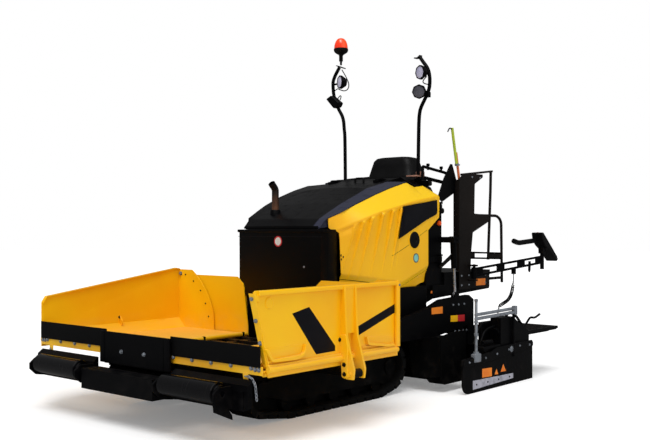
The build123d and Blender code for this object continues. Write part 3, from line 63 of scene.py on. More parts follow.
# shader building
class Wire:
    # a node's socket; sums and products of wires add Math nodes
    def __init__(self, finish, socket):
        self.finish, self.socket = finish, socket

    def sum(self, operation, first, second):
        return self.finish.node("ShaderNodeMath", {"operation": operation}, {0: first, 1: second})

    def __add__(self, other):
        return self.sum("ADD", self, other)

    def __mul__(self, other):
        return self.sum("MULTIPLY", self, other)

    def __sub__(self, other):
        return self.sum("SUBTRACT", self, other)

    def __rsub__(self, other):
        return self.sum("SUBTRACT", other, self)

    __radd__, __rmul__ = __add__, __mul__


def rgb(red, green, blue):
    # a colour as seen on a screen, 0 to 255, made linear
    return tuple(((c / 255 + 0.055) / 1.055) ** 2.4 if c > 10 else c / 255 / 12.92 for c in (red, green, blue))


class Finish:
    # one material: constants go straight onto the shader's sockets
    def __init__(self, name, **constants):
        self.material = finishes[name] = bpy.data.materials.new(name)
        self.material.use_nodes = True
        self.tree = self.material.node_tree
        self.shader = self.tree.nodes["Principled BSDF"]
        for socket, value in constants.items():
            self.shader.inputs[socket.replace("_", " ")].default_value = value
        self.place = self.node("ShaderNodeTexCoord", {}, {}, "Object")

    def node(self, kind, settings, values, out=0):
        made = self.tree.nodes.new(kind)
        for key, value in settings.items():
            if key == "stops":
                ramp = made.color_ramp
                while len(ramp.elements) < len(value):
                    ramp.elements.new(0.5)
                for element, (position, colour) in zip(ramp.elements, value):
                    element.position = position
                    element.color = (*rgb(*colour), 1)
            else:
                setattr(made, key, value)
        for key, value in values.items():
            if isinstance(value, Wire):
                self.tree.links.new(value.socket, made.inputs[key])
            else:
                made.inputs[key].default_value = value
        return Wire(self, made.outputs[out])

    def stretch(self, *scale):
        return self.node("ShaderNodeMapping", {}, {"Vector": self.place, "Scale": scale})

    def noise(self, scale, detail=4.0, rough=0.55, place=None):
        values = {"Vector": place or self.place, "Scale": scale, "Detail": detail, "Roughness": rough}
        return self.node("ShaderNodeTexNoise", {}, values)

    def step(self, value, low, high):
        # 0 below low, 1 above high, smooth in between
        values = {"Value": value, "From Min": low, "From Max": high}
        return self.node("ShaderNodeMapRange", {"interpolation_type": "SMOOTHSTEP"}, values)

    def axis(self, letter, vector=None):
        return self.node("ShaderNodeSeparateXYZ", {}, {0: vector or self.place}, letter)

    def facing(self, letter):
        return self.axis(letter, self.node("ShaderNodeNewGeometry", {}, {}, "Normal"))

    def mix(self, factor, *ends):
        # an end is a wire, a colour as on a screen or a linear level of grey
        first, second = (end if isinstance(end, Wire) else (*(rgb(*end) if isinstance(end, tuple) else (end,) * 3), 1)
                         for end in ends)
        return self.node("ShaderNodeMix", {"data_type": "RGBA"}, {0: factor, 6: first, 7: second}, 2)

    def bump(self, height, distance):
        self.give("Normal", self.node("ShaderNodeBump", {}, {"Height": height, "Distance": distance}))

    def give(self, socket, value):
        self.tree.links.new(value.socket, self.shader.inputs[socket])


# painted sheen: the hood's left facet and rim, turned to the light, are made slate grey while the right side stays
# black
paintedHoodSheen = {"from": 0.447, "to": 0.462, "colour": (50, 52, 68)}        # the hood's left facet
# painted light: yellow sheet that tilts up or down, the leaning band and the lower bevel, is made a lighter lemon
paintedTiltLight = {"from": 0.05, "to": 0.3, "colour": (250, 202, 22)}       # yellow sheet that leans back


def paint(name, colour, worn, dusty, rough, orangePeel, coat, dustHeight, specular, dusting):
    # sprayed paint: slow colour drift, fine orange peel, dust that thins out with height and lies on ledges; the hood
    # also gets a painted sheen on its left facet and the yellow a painted light on tilted faces
    finish = Finish(name, Coat_Weight=coat, Coat_Roughness=0.12, Specular_IOR_Level=specular)
    blotch = finish.noise(9.0, 6.0, 0.6)
    base = finish.mix(finish.step(finish.noise(1.3, 3.0), 0.35, 0.7), colour, worn)
    low = 1 - finish.step(finish.axis("Z"), 0.15, dustHeight)
    tilt = finish.facing("Z")
    dust = finish.step(blotch + low * 0.22 + finish.step(tilt, 0.6, 0.98) * 0.12, 0.62, 0.95)
    # painted sheen: slate grey on the hood's left facet
    if name == "hoodPaint":
        base = finish.mix(finish.step(finish.axis("X"), paintedHoodSheen["from"], paintedHoodSheen["to"]), base, paintedHoodSheen["colour"])
    # painted light: lighter lemon on yellow faces that tilt up or down
    if name == "yellowPaint":
        base = finish.mix(finish.step(tilt * tilt, paintedTiltLight["from"], paintedTiltLight["to"]), base, paintedTiltLight["colour"])
    finish.give("Base Color", finish.mix(dust * dusting, base, dusty))
    finish.give("Roughness", rough + blotch * 0.12 + dust * 0.35)
    finish.bump(finish.noise(420.0, 2.0) * 0.5 + finish.noise(28.0, 3.0) * 0.5, orangePeel)


def hopperPaint():
    # the hopper's yellow sheet, polished and dusted by the mix that slides over it
    finish = Finish("hopperPaint", Coat_Weight=0.05, Coat_Roughness=0.2, Specular_IOR_Level=0.3)
    drift = finish.noise(1.1, 4.0)
    streaks = finish.noise(5.0, 6.0, 0.65, finish.stretch(1.0, 0.25, 1.6))
    base = finish.mix(finish.step(drift, 0.35, 0.68), (252, 194, 8), (249, 180, 6))
    flat = finish.step(finish.facing("Z"), 0.55, 0.95)
    low = 1 - finish.step(finish.axis("Z"), 0.62, 0.95)
    worn = finish.step(streaks + low * 0.16 + flat * 0.22, 0.5, 0.82) * (low * 0.24 + flat * 0.22)
    finish.give("Base Color", finish.mix(worn, base, (226, 176, 96)))
    finish.give("Roughness", 0.3 + streaks * 0.14 + worn * 0.2)
    finish.bump(finish.noise(60.0, 5.0, 0.7, finish.stretch(1.0, 0.12, 1.0)) * 0.4 + drift * 0.6, 0.0012)


def metal(name, colour, dark, rough, grainScale, depth, metallic=1.0):
    # steel: brushed grain and darker handling marks; a low metallic value keeps it bright without much to mirror
    finish = Finish(name, Metallic=metallic)
    marks = finish.noise(14.0, 5.0)
    finish.give("Base Color", finish.mix(finish.step(marks, 0.42, 0.75), colour, dark))
    finish.give("Roughness", rough + marks * 0.18)
    finish.bump(finish.noise(grainScale, 3.0, 0.6, finish.stretch(1.0, 1.0, 0.15)), depth)


def rubber(name, colour, pale, rough, scale, depth):
    # rubber: matt, with pale chafed patches
    finish = Finish(name, Specular_IOR_Level=0.18)
    chafe = finish.noise(7.0, 6.0, 0.65)
    finish.give("Base Color", finish.mix(finish.step(chafe, 0.52, 0.8) * 0.6, colour, pale))
    finish.give("Roughness", rough + chafe * 0.15)
    finish.bump(finish.noise(scale, 4.0, 0.7), depth)


def rollerGloss():
    # push rollers: gloss black with scuffs round the drum
    finish = Finish("rollerGloss", Coat_Weight=0.3, Coat_Roughness=0.08, Specular_IOR_Level=0.3)
    bands = finish.noise(16.0, 5.0, 0.6, finish.stretch(2.4, 0.2, 0.2))
    scuff = finish.step(bands, 0.55, 0.8)
    finish.give("Base Color", finish.mix(scuff * 0.4, (3, 3, 5), (28, 25, 24)))
    finish.give("Roughness", 0.16 + scuff * 0.3)
    finish.bump(bands, 0.0008)


def exhaustSteel():
    # heat-tinted pipe: brown at the foot, grey to the mouth
    finish = Finish("exhaustSteel", Metallic=0.75)
    rise = finish.step(finish.axis("Z") + finish.noise(11.0, 4.0) * 0.12, 1.96, 2.3)
    stops = ((0.0, (150, 104, 78)), (0.35, (112, 82, 66)), (0.7, (70, 60, 54)), (1.0, (38, 34, 32)))
    finish.give("Base Color", finish.node("ShaderNodeValToRGB", {"stops": stops}, {0: rise}))
    finish.give("Roughness", 0.38 + finish.noise(30.0, 4.0) * 0.2)
    finish.bump(finish.noise(70.0, 3.0), 0.0006)


def plastic(name, colour, second, rough, depth, scale=260.0, **constants):
    # moulded plastic or a stuck-on sheet: fine grain and a slow colour drift
    finish = Finish(name, **constants)
    drift = finish.noise(5.0, 3.0)
    finish.give("Base Color", finish.mix(finish.step(drift, 0.4, 0.7), colour, second))
    finish.give("Roughness", rough + drift * 0.1)
    finish.bump(finish.noise(scale, 2.0), depth)


def seatVinyl():
    # grained vinyl: small cells, worn smoother where it is sat on
    finish = Finish("seatVinyl", Specular_IOR_Level=0.25)
    wear = finish.noise(6.0, 4.0)
    finish.give("Base Color", finish.mix(finish.step(wear, 0.4, 0.7), (14, 14, 16), (30, 29, 30)))
    finish.give("Roughness", 0.44 + wear * 0.2)
    cells = finish.node("ShaderNodeTexVoronoi", {}, {"Vector": finish.place, "Scale": 330.0})
    finish.bump(cells * 0.7 + finish.noise(40.0, 3.0) * 0.3, 0.0008)


print("making finishes")
# colour, worn and dusty colours, roughness, orange peel, coat, height of the dust, specular, share of dust
paints = {
    "yellowPaint": ((248, 188, 8), (244, 178, 6), (222, 180, 90), 0.32, 0.0006, 0.15, 0.9, 0.3, 0.3),
    "blackPaint": ((4, 4, 6), (7, 7, 9), (44, 40, 38), 0.36, 0.0008, 0.0, 0.9, 0.12, 0.24),
    "hoodPaint": ((4, 4, 6), (8, 8, 10), (40, 37, 35), 0.28, 0.0008, 0.02, 0.2, 0.16, 0.24),
    "boxPaint": ((3, 3, 4), (5, 5, 6), (24, 22, 21), 0.3, 0.0006, 0.0, 0.3, 0.16, 0.24),
    "framePaint": ((4, 4, 5), (7, 7, 7), (48, 43, 38), 0.5, 0.0015, 0.0, 0.7, 0.1, 0.24),
    "columnPaint": ((20, 16, 14), (27, 21, 18), (64, 54, 46), 0.38, 0.0008, 0.0, 0.9, 0.2, 0.24)}
for name, values in paints.items():
    paint(name, *values)
hopperPaint()
seatVinyl()
metal("bareSteel", (196, 196, 208), (150, 150, 160), 0.4, 90.0, 0.0004, 0.35)
metal("zincSteel", (142, 148, 156), (104, 108, 114), 0.38, 120.0, 0.0003, 0.4)
metal("rodChrome", (214, 216, 222), (176, 178, 184), 0.16, 200.0, 0.0001, 0.8)
metal("darkSteel", (62, 60, 58), (40, 37, 34), 0.42, 60.0, 0.0012)
rubber("apronRubber", (8, 8, 9), (22, 21, 20), 0.55, 90.0, 0.002)
rubber("trackRubber", (12, 12, 12), (46, 42, 38), 0.7, 45.0, 0.003)
rubber("cableRubber", (13, 13, 14), (30, 30, 31), 0.42, 200.0, 0.0003)
rollerGloss()
exhaustSteel()
plastic("blackPlastic", (9, 9, 10), (14, 14, 15), 0.45, 0.0004, Specular_IOR_Level=0.2)
plastic("blackDecalAndShade", (12, 12, 18), (17, 17, 23), 0.34, 0.0001, Specular_IOR_Level=0.2)
plastic("orangeSheet", (240, 132, 16), (226, 112, 10), 0.42, 0.0001)
plastic("tealSheet", (132, 200, 190), (112, 184, 176), 0.4, 0.0001)
plastic("redSheet", (204, 34, 40), (186, 26, 32), 0.42, 0.0001)
plastic("paleSheet", (226, 224, 220), (206, 204, 198), 0.4, 0.0001)
plastic("greySheet", (86, 86, 96), (60, 60, 68), 0.36, 0.0002)
plastic("stickGreen", (176, 196, 44), (160, 182, 36), 0.4, 0.0002)
plastic("stickOrange", (226, 116, 60), (206, 98, 48), 0.4, 0.0002)
plastic("copperPlate", (176, 128, 108), (140, 96, 80), 0.36, 0.0004)
plastic("markerOrange", (244, 92, 16), (226, 76, 10), 0.22, 0.0001, Coat_Weight=0.5)
plastic("lampLens", (206, 204, 226), (170, 168, 196), 0.12, 0.0006, 90.0, Coat_Weight=0.6)
plastic("beaconLens", (250, 78, 30), (226, 44, 24), 0.2, 0.0006, 60.0, Coat_Weight=0.5,
        Emission_Color=(1.0, 0.06, 0.005, 1), Emission_Strength=0.25)
plastic("displayGlass", (20, 26, 32), (26, 34, 42), 0.08, 0.00002, Coat_Weight=0.8)


# shapes worked out as arrays: each is (points, faces)
def grid(points, wrapU=False, wrapV=False, capped=False):
    # a surface through points[u, v]; wraps join the last row or column to the first, caps close the ends in u
    rows, columns = points.shape[:2]
    index = np.arange(rows * columns).reshape(rows, columns)
    if wrapU:
        index = np.vstack([index, index[:1]])
    if wrapV:
        index = np.hstack([index, index[:, :1]])
    faces = np.stack([index[:-1, :-1], index[1:, :-1], index[1:, 1:], index[:-1, 1:]], -1).reshape(-1, 4).tolist()
    if capped:
        faces += [index[0, :columns].tolist(), index[-1, :columns][::-1].tolist()]
    return points.reshape(-1, 3), faces


def lofted(rings):
    # a closed skin over rings that follow one another
    return grid(np.array(rings, float), wrapV=True, capped=True)


def shell(outer, inner):
    # two grids of the same size a wall apart, joined round their rims
    rows, columns = outer.shape[:2]
    index = np.arange(rows * columns).reshape(rows, columns)
    rim = np.concatenate([index[0, :-1], index[:-1, -1], index[-1, :0:-1], index[:0:-1, 0]])
    after = np.roll(rim, -1)
    points, faces = joined([grid(outer), (inner.reshape(-1, 3), [face[::-1] for face in grid(inner)[1]])])
    count = rows * columns
    return points, faces + np.stack([rim, after, after + count, rim + count], 1).tolist()


def joined(parts):
    # several shapes as one
    points, faces, shift = [], [], 0
    for partPoints, partFaces in parts:
        points.append(partPoints)
        faces += [[i + shift for i in face] for face in partFaces]
        shift += len(partPoints)
    return np.vstack(points), faces


def mirrored(shape, sign):
    # the shape of the left side, on the side with this sign
    return shape[0] * (sign, 1, 1), shape[1]


def unit(vector):
    # the vector over its length
    vector = np.array(vector, float)
    return vector / np.linalg.norm(vector)


def across(direction):
    # two unit vectors square to a direction
    direction = unit(direction)
    first = unit(np.cross((0, 0, 1) if abs(direction[2]) < 0.9 else (0, 1, 0), direction))
    return first, np.cross(direction, first)


def circle(count):
    # cosine and sine of even steps round a circle
    angle = np.arange(count) * 2 * np.pi / count
    return np.cos(angle), np.sin(angle)


def turned(profile, foot, direction, count=24):
    # a profile of (radius, height) turned about a direction from its foot; closed at both ends
    profile = np.array(profile, float)
    first, second = across(direction)
    cosine, sine = circle(count)
    ring = cosine[:, None] * first + sine[:, None] * second
    return lofted(np.array(foot, float) + profile[:, 1, None, None] * unit(direction)
                  + profile[:, 0, None, None] * ring)


def disc(radius, low, high, foot, direction, count=24):
    # a plain cylinder between two heights
    return turned([(0.0, low), (radius, low), (radius, high), (0.0, high)], foot, direction, count)


def pipe(path, radius, count=16):
    # a round bar along a path of points, its ring carried from point to point without twist
    path = np.array(path, float)
    runs = np.diff(path, axis=0)
    tangents = np.vstack([runs[:1], runs[:-1] + runs[1:], runs[-1:]])
    tangents /= np.linalg.norm(tangents, axis=1)[:, None]
    side, _ = across(tangents[0])
    cosine, sine = circle(count)
    rings = []
    for spot, tangent in zip(path, tangents):
        side = unit(side - (side @ tangent) * tangent)
        rings.append(spot + radius * (cosine[:, None] * side + sine[:, None] * np.cross(tangent, side)))
    return lofted(rings)


def eased(before, corner, after, radius, share, steps):
    # a parabola over a corner; it starts a radius away, or at a share of the shorter run
    reach = min(radius, share * np.linalg.norm(corner - before), share * np.linalg.norm(after - corner))
    start, end = (corner + unit(spot - corner) * reach for spot in (before, after))
    t = np.linspace(0, 1, steps)[:, None]
    return list((1 - t) ** 2 * start + 2 * t * (1 - t) * corner + t ** 2 * end)


def bent(points, bend, steps=6):
    # straight runs through points with eased corners, as a path of points
    points = [np.array(p, float) for p in points]
    path = [points[0]]
    for before, corner, after in zip(points, points[1:], points[2:]):
        path += eased(before, corner, after, bend, 0.49, steps)
    return path + [points[-1]]


def tube(points, bend, radius, count=16, steps=6):
    # a round bar with straight runs through points and eased corners
    return pipe(bent(points, bend, steps), radius, count)


def rounded(outline, radius, steps=4):
    # a closed flat outline with its corners eased
    outline = [np.array(p, float) for p in outline]
    made = []
    for i, corner in enumerate(outline):
        made += eased(outline[i - 1], corner, outline[(i + 1) % len(outline)], radius, 0.45, steps)
    return np.array(made)


def slab(outline, axis, low, high, edge=0.003, corner=0.0, steps=4):
    # a flat outline carried along an axis, its rims cut back by the edge; its columns are the other two axes in order
    outline = rounded(outline, corner, steps) if corner else np.array(outline, float)
    area = np.sum(outline[:, 0] * np.roll(outline[:, 1], -1) - np.roll(outline[:, 0], -1) * outline[:, 1])
    if (area < 0) != (axis == "Y"):
        outline = outline[::-1]
    runs = np.roll(outline, -1, 0) - outline
    runs /= np.maximum(np.linalg.norm(runs, axis=1), 1e-9)[:, None]
    inward = np.stack([-runs[:, 1], runs[:, 0]], 1) * (-1 if axis == "Y" else 1)
    inset = inward + np.roll(inward, 1, 0)
    inset /= np.maximum(np.sum(inset ** 2, 1) / 2, 0.35)[:, None]
    edge = min(edge, (high - low) / 2.01)
    rings = []
    for height, share in ((low, edge), (low + edge, 0.0), (high - edge, 0.0), (high, edge)):
        rings.append(np.insert(outline + inset * share, "XYZ".index(axis), height, axis=1))
    return lofted(rings)


def brick(x, y, z, edge=0.004, corner=0.008):
    # a rounded block between low and high values of each axis
    return slab([(x[0], y[0]), (x[1], y[0]), (x[1], y[1]), (x[0], y[1])], "Z", *z, edge, corner, 3)


def ringBar(centre, direction, radius, thick, count, around):
    # a ring of round bar
    first, second = across(direction)
    (cosU, sinU), (cosV, sinV) = circle(count), circle(around)
    out = cosU[:, None] * first + sinU[:, None] * second
    points = (np.array(centre, float) + (radius + thick * cosV)[None, :, None] * out[:, None]
              + (thick * sinV)[None, :, None] * unit(direction))
    return grid(points, wrapU=True, wrapV=True)


def bolts(places, direction, size):
    # each a washer, a six-sided head and a low dome
    head = [(size * 0.72, 0.0), (size * 0.74, size * 0.62), (size * 0.6, size * 0.74), (0.0, size * 0.76)]
    return joined([shape for place in places for shape in (
        disc(size * 0.98, -0.001, size * 0.16, place, direction, 14), turned(head, place, direction, 6))])


def along(path, count=None, gap=1.0):
    # points evenly spaced along a path, a count of them or about a gap apart, and how far each has come
    path = np.array(path, float)
    reach = np.concatenate([[0], np.cumsum(np.linalg.norm(np.diff(path, axis=0), axis=1))])
    come = np.linspace(0, reach[-1], count or max(int(reach[-1] / gap), 2))
    return np.stack([np.interp(come, reach, column) for column in path.T], 1), come


def chain(path, size, thick):
    # links along a path, each a stretched ring turned a quarter from the last
    spots, _ = along(path, gap=size * 1.35)
    (cosU, sinU), (cosV, sinV) = circle(12), circle(6)
    links = []
    for i, (spot, run) in enumerate(zip(spots, np.gradient(spots, axis=0))):
        run = unit(run)
        wide = across(run)[i % 2]
        loop = spot + cosU[:, None] * run * size + sinU[:, None] * wide * size * 0.55
        tangent = -sinU[:, None] * run * size + cosU[:, None] * wide * size * 0.55
        tangent /= np.linalg.norm(tangent, axis=1)[:, None]
        normal = np.cross(run, wide)
        out = np.cross(tangent, normal)
        points = loop[:, None] + thick * (cosV[None, :, None] * normal + sinV[None, :, None] * out[:, None])
        links.append(grid(points, wrapU=True, wrapV=True))
    return joined(links)


def smoothLine(stations, values):
    # a cubic through the stations whose slope at each is the mean of its neighbours' runs
    stations, values = np.array(stations, float), np.array(values, float)
    slopes = np.gradient(values, stations)

    def at(where):
        where = np.clip(where, stations[0], stations[-1])
        i = np.clip(np.searchsorted(stations, where, "right") - 1, 0, len(stations) - 2)
        gap = stations[i + 1] - stations[i]
        t = (where - stations[i]) / gap
        return ((2 * t ** 3 - 3 * t ** 2 + 1) * values[i] + (t ** 3 - 2 * t ** 2 + t) * gap * slopes[i]
                + (3 * t ** 2 - 2 * t ** 3) * values[i + 1] + (t ** 3 - t ** 2) * gap * slopes[i + 1])
    return at


def nurbsLine(points):
    # the points of a smooth curve through its control points
    curve = bpy.data.curves.new("line", "CURVE")
    curve.dimensions = "3D"
    curve.resolution_u = 24
    spline = curve.splines.new("NURBS")
    spline.points.add(len(points) - 1)
    spline.points.foreach_set("co", np.hstack([points, np.ones((len(points), 1))]).ravel())
    spline.order_u = 3
    spline.use_endpoint_u = True
    line = bpy.data.objects.new("line", curve)
    bpy.context.scene.collection.objects.link(line)
    mesh = bpy.data.meshes.new_from_object(line)
    made = np.zeros(len(mesh.vertices) * 3)
    mesh.vertices.foreach_get("co", made)
    bpy.data.objects.remove(line)
    bpy.data.meshes.remove(mesh)
    return made.reshape(-1, 3)


# pieces in the scene
bodyOf = {node: body for body, nodes in frame["record"]["behaviour"]["bodies"].items() for node in nodes}


def placed(name, mesh, body, finish, sharp, replaces, bevel=0.0):
    # a mesh in the scene: shaded smooth up to the sharp angle, bevelled, painted and tied to its body
    mesh.shade_smooth()
    mesh.set_sharp_from_angle(angle=math.radians(sharp))
    made = bpy.data.objects.new(name, mesh)
    bpy.context.scene.collection.objects.link(made)
    if bevel:
        trim = made.modifiers.new("edges", "BEVEL")
        trim.width = bevel
        trim.segments = 2
        trim.angle_limit = math.radians(32)
        trim.harden_normals = True
    mesh.materials.append(finishes[finish])
    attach(made, body)
    if replaces:
        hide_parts(*replaces)
    return made


def piece(name, shape, body, finish, sharp=35.0, replaces=()):
    # the shape as an object that rides on a body
    mesh = bpy.data.meshes.new(name)
    mesh.from_pydata(shape[0].tolist(), [], shape[1])
    work = bmesh.new()
    work.from_mesh(mesh)
    bmesh.ops.remove_doubles(work, verts=work.verts, dist=1e-6)
    bmesh.ops.recalc_face_normals(work, faces=work.faces)
    work.to_mesh(mesh)
    work.free()
    return placed(name, mesh, body, finish, sharp, replaces)


def pair(name, shape, body, finish, sharp=35.0, replaces=()):
    # a left piece and its mirror image; the name, body and nodes end in the side where they end in _
    for side, sign in sides:
        ends = [text + side * text.endswith("_") for text in (name, body, *replaces)]
        piece(ends[0], mirrored(shape, sign), ends[1], finish, sharp, ends[2:])


def trimmed(node, finish, bevel, slot=None):
    # a CAD node again, its triangles merged to flat faces and its edges bevelled
    mesh = frame["nodes"][node].data.copy()
    mesh.materials.clear()
    work = bmesh.new()
    work.from_mesh(mesh)
    bmesh.ops.remove_doubles(work, verts=work.verts, dist=2e-5)
    bmesh.ops.dissolve_limit(work, angle_limit=math.radians(0.6), verts=work.verts, edges=work.edges)
    if node.startswith("screed_extension"):
        # what lies behind and below the foot of the walkway goes
        rear, low = walkwayFoot
        cells = work.verts[:] + work.edges[:] + work.faces[:]
        cells = bmesh.ops.bisect_plane(work, geom=cells, plane_co=(0, rear, 0), plane_no=(0, 1, 0), dist=1e-5)["geom"]
        bmesh.ops.bisect_plane(work, geom=cells, plane_co=(0, 0, low), plane_no=(0, 0, 1), dist=1e-5)
        middles = [(face, face.calc_center_median()) for face in work.faces]
        gone = [face for face, middle in middles if middle.y > rear and middle.z < low]
        bmesh.ops.delete(work, geom=gone, context="FACES")
    work.to_mesh(mesh)
    work.free()
    placed(node + "Trimmed", mesh, bodyOf[node], finish, 32.0, (node,), bevel)


camera = {"place": (6.568, -7.657, 1.741), "turn": 40.66, "lens": 50.6, "shift": 0.0138}
cameraData = bpy.data.cameras.new("camera")
cameraData.lens = camera["lens"]
cameraData.sensor_width = 36.0
cameraData.shift_y = camera["shift"]
cameraObject = bpy.data.objects.new("camera", cameraData)
cameraObject.location = camera["place"]
cameraObject.rotation_euler = (math.radians(90), 0, math.radians(camera["turn"]))
bpy.context.scene.collection.objects.link(cameraObject)
bpy.context.scene.camera = cameraObject

# curly cable from the console arm to the left drive box
cable = {"radius": 0.021, "wire": 0.0056, "turns": 30, "lead": 0.13,
         "route": ((1.15, 2.119, 1.2), (1.15, 2.119, 1.125), (1.17, 2.064, 1.05), (1.21, 1.964, 0.985),
                   (1.255, 1.839, 0.94), (1.292, 1.709, 0.91), (1.305, 1.589, 0.888), (1.312, 1.468, 0.855),
                   (1.312, 1.464, 0.75))}


def curlyCable(line):
    # a wire wound on a core that follows the line; its ends run straight for the length of the lead
    core, s = along(line, cable["turns"] * 16)
    tangent = np.gradient(core, axis=0)
    tangent /= np.linalg.norm(tangent, axis=1)[:, None]
    side = np.cross(tangent, (1.0, 0.0, 0.0))
    side /= np.linalg.norm(side, axis=1)[:, None]
    opening = np.clip(np.minimum(s, s[-1] - s) / cable["lead"] - 0.35, 0, 1)
    swell = (cable["radius"] - cable["wire"]) * opening * opening * (3 - 2 * opening)
    angle = 2 * np.pi * cable["turns"] * s / s[-1]
    path = core + swell[:, None] * (np.cos(angle)[:, None] * side + np.sin(angle)[:, None] * np.cross(tangent, side))
    return piece("curlyCable", pipe(path, cable["wire"], 6), "console_arm", "cableRubber", 60.0, ("control_cable",))


cordLine = nurbsLine(np.array(cable["route"]))
cord = curlyCable(cordLine)
print("cable laid")

# CAD nodes with a finish of their own: finish, bevel, nodes, and the slot where it isn't the finish's
walkwayFoot = (2.05, 0.5)
nodeFinish = (
    ("framePaint", 0.004, "main_frame track_frame_left track_frame_right auger_drive"),
    ("framePaint", 0.003, "wing_cylinder_left wing_cylinder_right", "black_paint"),
    ("framePaint", 0.004, "seat_base", "black_paint"),
    ("darkSteel", 0.003, "conveyor"),
    ("darkSteel", 0.002, "auger_left auger_right"),
    ("darkSteel", 0.002, "wing_rod_left wing_rod_right", "rod_chrome"),
    ("darkSteel", 0.02, "engine_block", "chassis_grey"),
    ("blackPaint", 0.003, "conveyor_nose_guard lift_cylinders"),
    ("blackPaint", 0.004, "operator_platform tow_arms screed_body screed_extension_left screed_extension_right"),
    ("blackPaint", 0.005, "push_beam"),
    ("blackPaint", 0.006, "rear_cowl"),
    ("blackPaint", 0.008, "side_tank_left side_tank_right"),
    ("hopperPaint", 0.002, "hopper_rear_wall wing_left wing_right"),
    ("trackRubber", 0.005, "track_left track_right"),
    ("apronRubber", 0.003, "wing_apron_left wing_apron_right"),
    ("exhaustSteel", 0.001, "exhaust_stack"),
    ("rodChrome", 0.002, "lift_rods"))
for finish, bevel, nodes, *slot in nodeFinish:
    for node in nodes.split():
        trimmed(node, finish, bevel, *slot)
print("nodes finished")

# hopper wings
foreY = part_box("wing_right")[0][1]
wing = {"face": 1.55, "rearY": foreY + 1.788, "ear": -1.622, "boltSize": 0.02,
        "stripes": (((0.345, 1.056), (0.552, 1.097), (0.886, 0.743), (0.886, 0.70), (0.639, 0.696)),
                    ((1.144, 0.868), (1.765, 1.055), (1.765, 0.975), (1.144, 0.785)))}
face, rear = wing["face"], wing["rearY"]


def fromFore(outline):
    # (y behind the front edge, z) as (y, z)
    return [(foreY + y, z) for y, z in outline]


def swept(section, run):
    # a section of (dx, dy, dz) carried along points of (x, y, z)
    return lofted(np.array(run)[:, None] + np.array(section))


def wingTrim(left):
    # bent flaps, rail and rear post of both wings, then the upper edge, which differs
    start = foreY + (0.05 if left else 0.02)
    flap = [(0.012, 0.80), (0.085, 0.69), (0.38, 0.682), (0.452, 0.70), (0.484, 0.735), (0.486, 0.80), (0.478, 0.80),
            (0.464, 0.74), (0.43, 0.72), (0.10, 0.712), (0.04, 0.80)]
    shapes = [slab(fromFore(flap), "X", face - 0.002, face + 0.034, 0.004, 0.03, 5),
              slab(fromFore([(0.02, 0.80), (0.088, 0.70), (0.44, 0.70), (0.478, 0.80)]), "X",
                   face - 0.003, face + 0.004,
                   0.003, 0.02),
              pipe([(face + 0.016, start, 0.632), (face + 0.016, rear - 0.03, 0.632)], 0.026),
              slab([(face - 0.04, 0.655), (face + 0.022, 0.655), (face + 0.022, 0.672), (face - 0.04, 0.672)], "Y",
                   start, rear - 0.02, 0.003, 0.004),
              pipe([(face + 0.018, rear - 0.03, 0.66), (face + 0.018, rear - 0.03, 1.266)], 0.027, 20)]
    if not left:
        rim = [(dx, 0, dz) for dx, dz in ((0.014, -0.03), (0.014, 0.004), (-0.03, 0.004), (-0.03, -0.006),
                                          (0.002, -0.008), (0.002, -0.03))]
        run = [(face, foreY + 0.01, 1.005), (face, foreY + 0.05, 1.062), (face, rear - 0.06, 1.294),
               (face, rear - 0.01, 1.284)]
        return joined(shapes + [swept(rim, run)])
    # flange along the top, return down the front edge, notched tab, round boss and the flap at the rear
    flange = [(-0.012, 1.222), (0.03, 1.222), (0.034, 1.23), (0.034, 1.254), (0.026, 1.262), (-0.012, 1.262)]
    shapes.append(slab([(face + x, z) for x, z in flange], "Y", foreY - 0.06, rear - 0.05, 0.004, 0.006))
    lip = [(dx, dy, 0) for dx, dy in ((0.012, -0.004), (-0.052, -0.004), (-0.052, 0.006), (0.012, 0.006))]
    shapes.append(swept(lip, [(face, foreY + 0.068 - 0.162 * t, 0.64 + 0.6 * t) for t in np.linspace(0, 1, 8)]))
    tab = [(-0.094, 1.262), (-0.094, 1.21), (-0.062, 1.176), (-0.036, 1.176), (-0.036, 1.262)]
    shapes.append(slab(fromFore(tab), "X", face - 0.002, face + 0.014, 0.003, 0.012))
    boss = (face, foreY + 0.078, 1.158)
    shapes.append(ringBar(boss, outward, 0.038, 0.009, 28, 8))
    shapes.append(turned([(0.0, -0.004), (0.036, -0.004), (0.03, 0.006), (0.0, 0.007)], boss, outward))
    tail = [(1.286, 0.787), (1.31, 0.711), (1.606, 0.667), (1.7, 0.668)]
    shapes.append(slab(fromFore(tail + [(1.7, 0.75), (1.6, 0.76)]), "X", face - 0.002, face + 0.006, 0.003, 0.02))
    shapes.append(slab(fromFore(tail + [(1.7, 0.69), (1.606, 0.69), (1.325, 0.735), (1.305, 0.79)]), "X",
                       face - 0.002, face + 0.034, 0.004, 0.015))
    return joined(shapes)


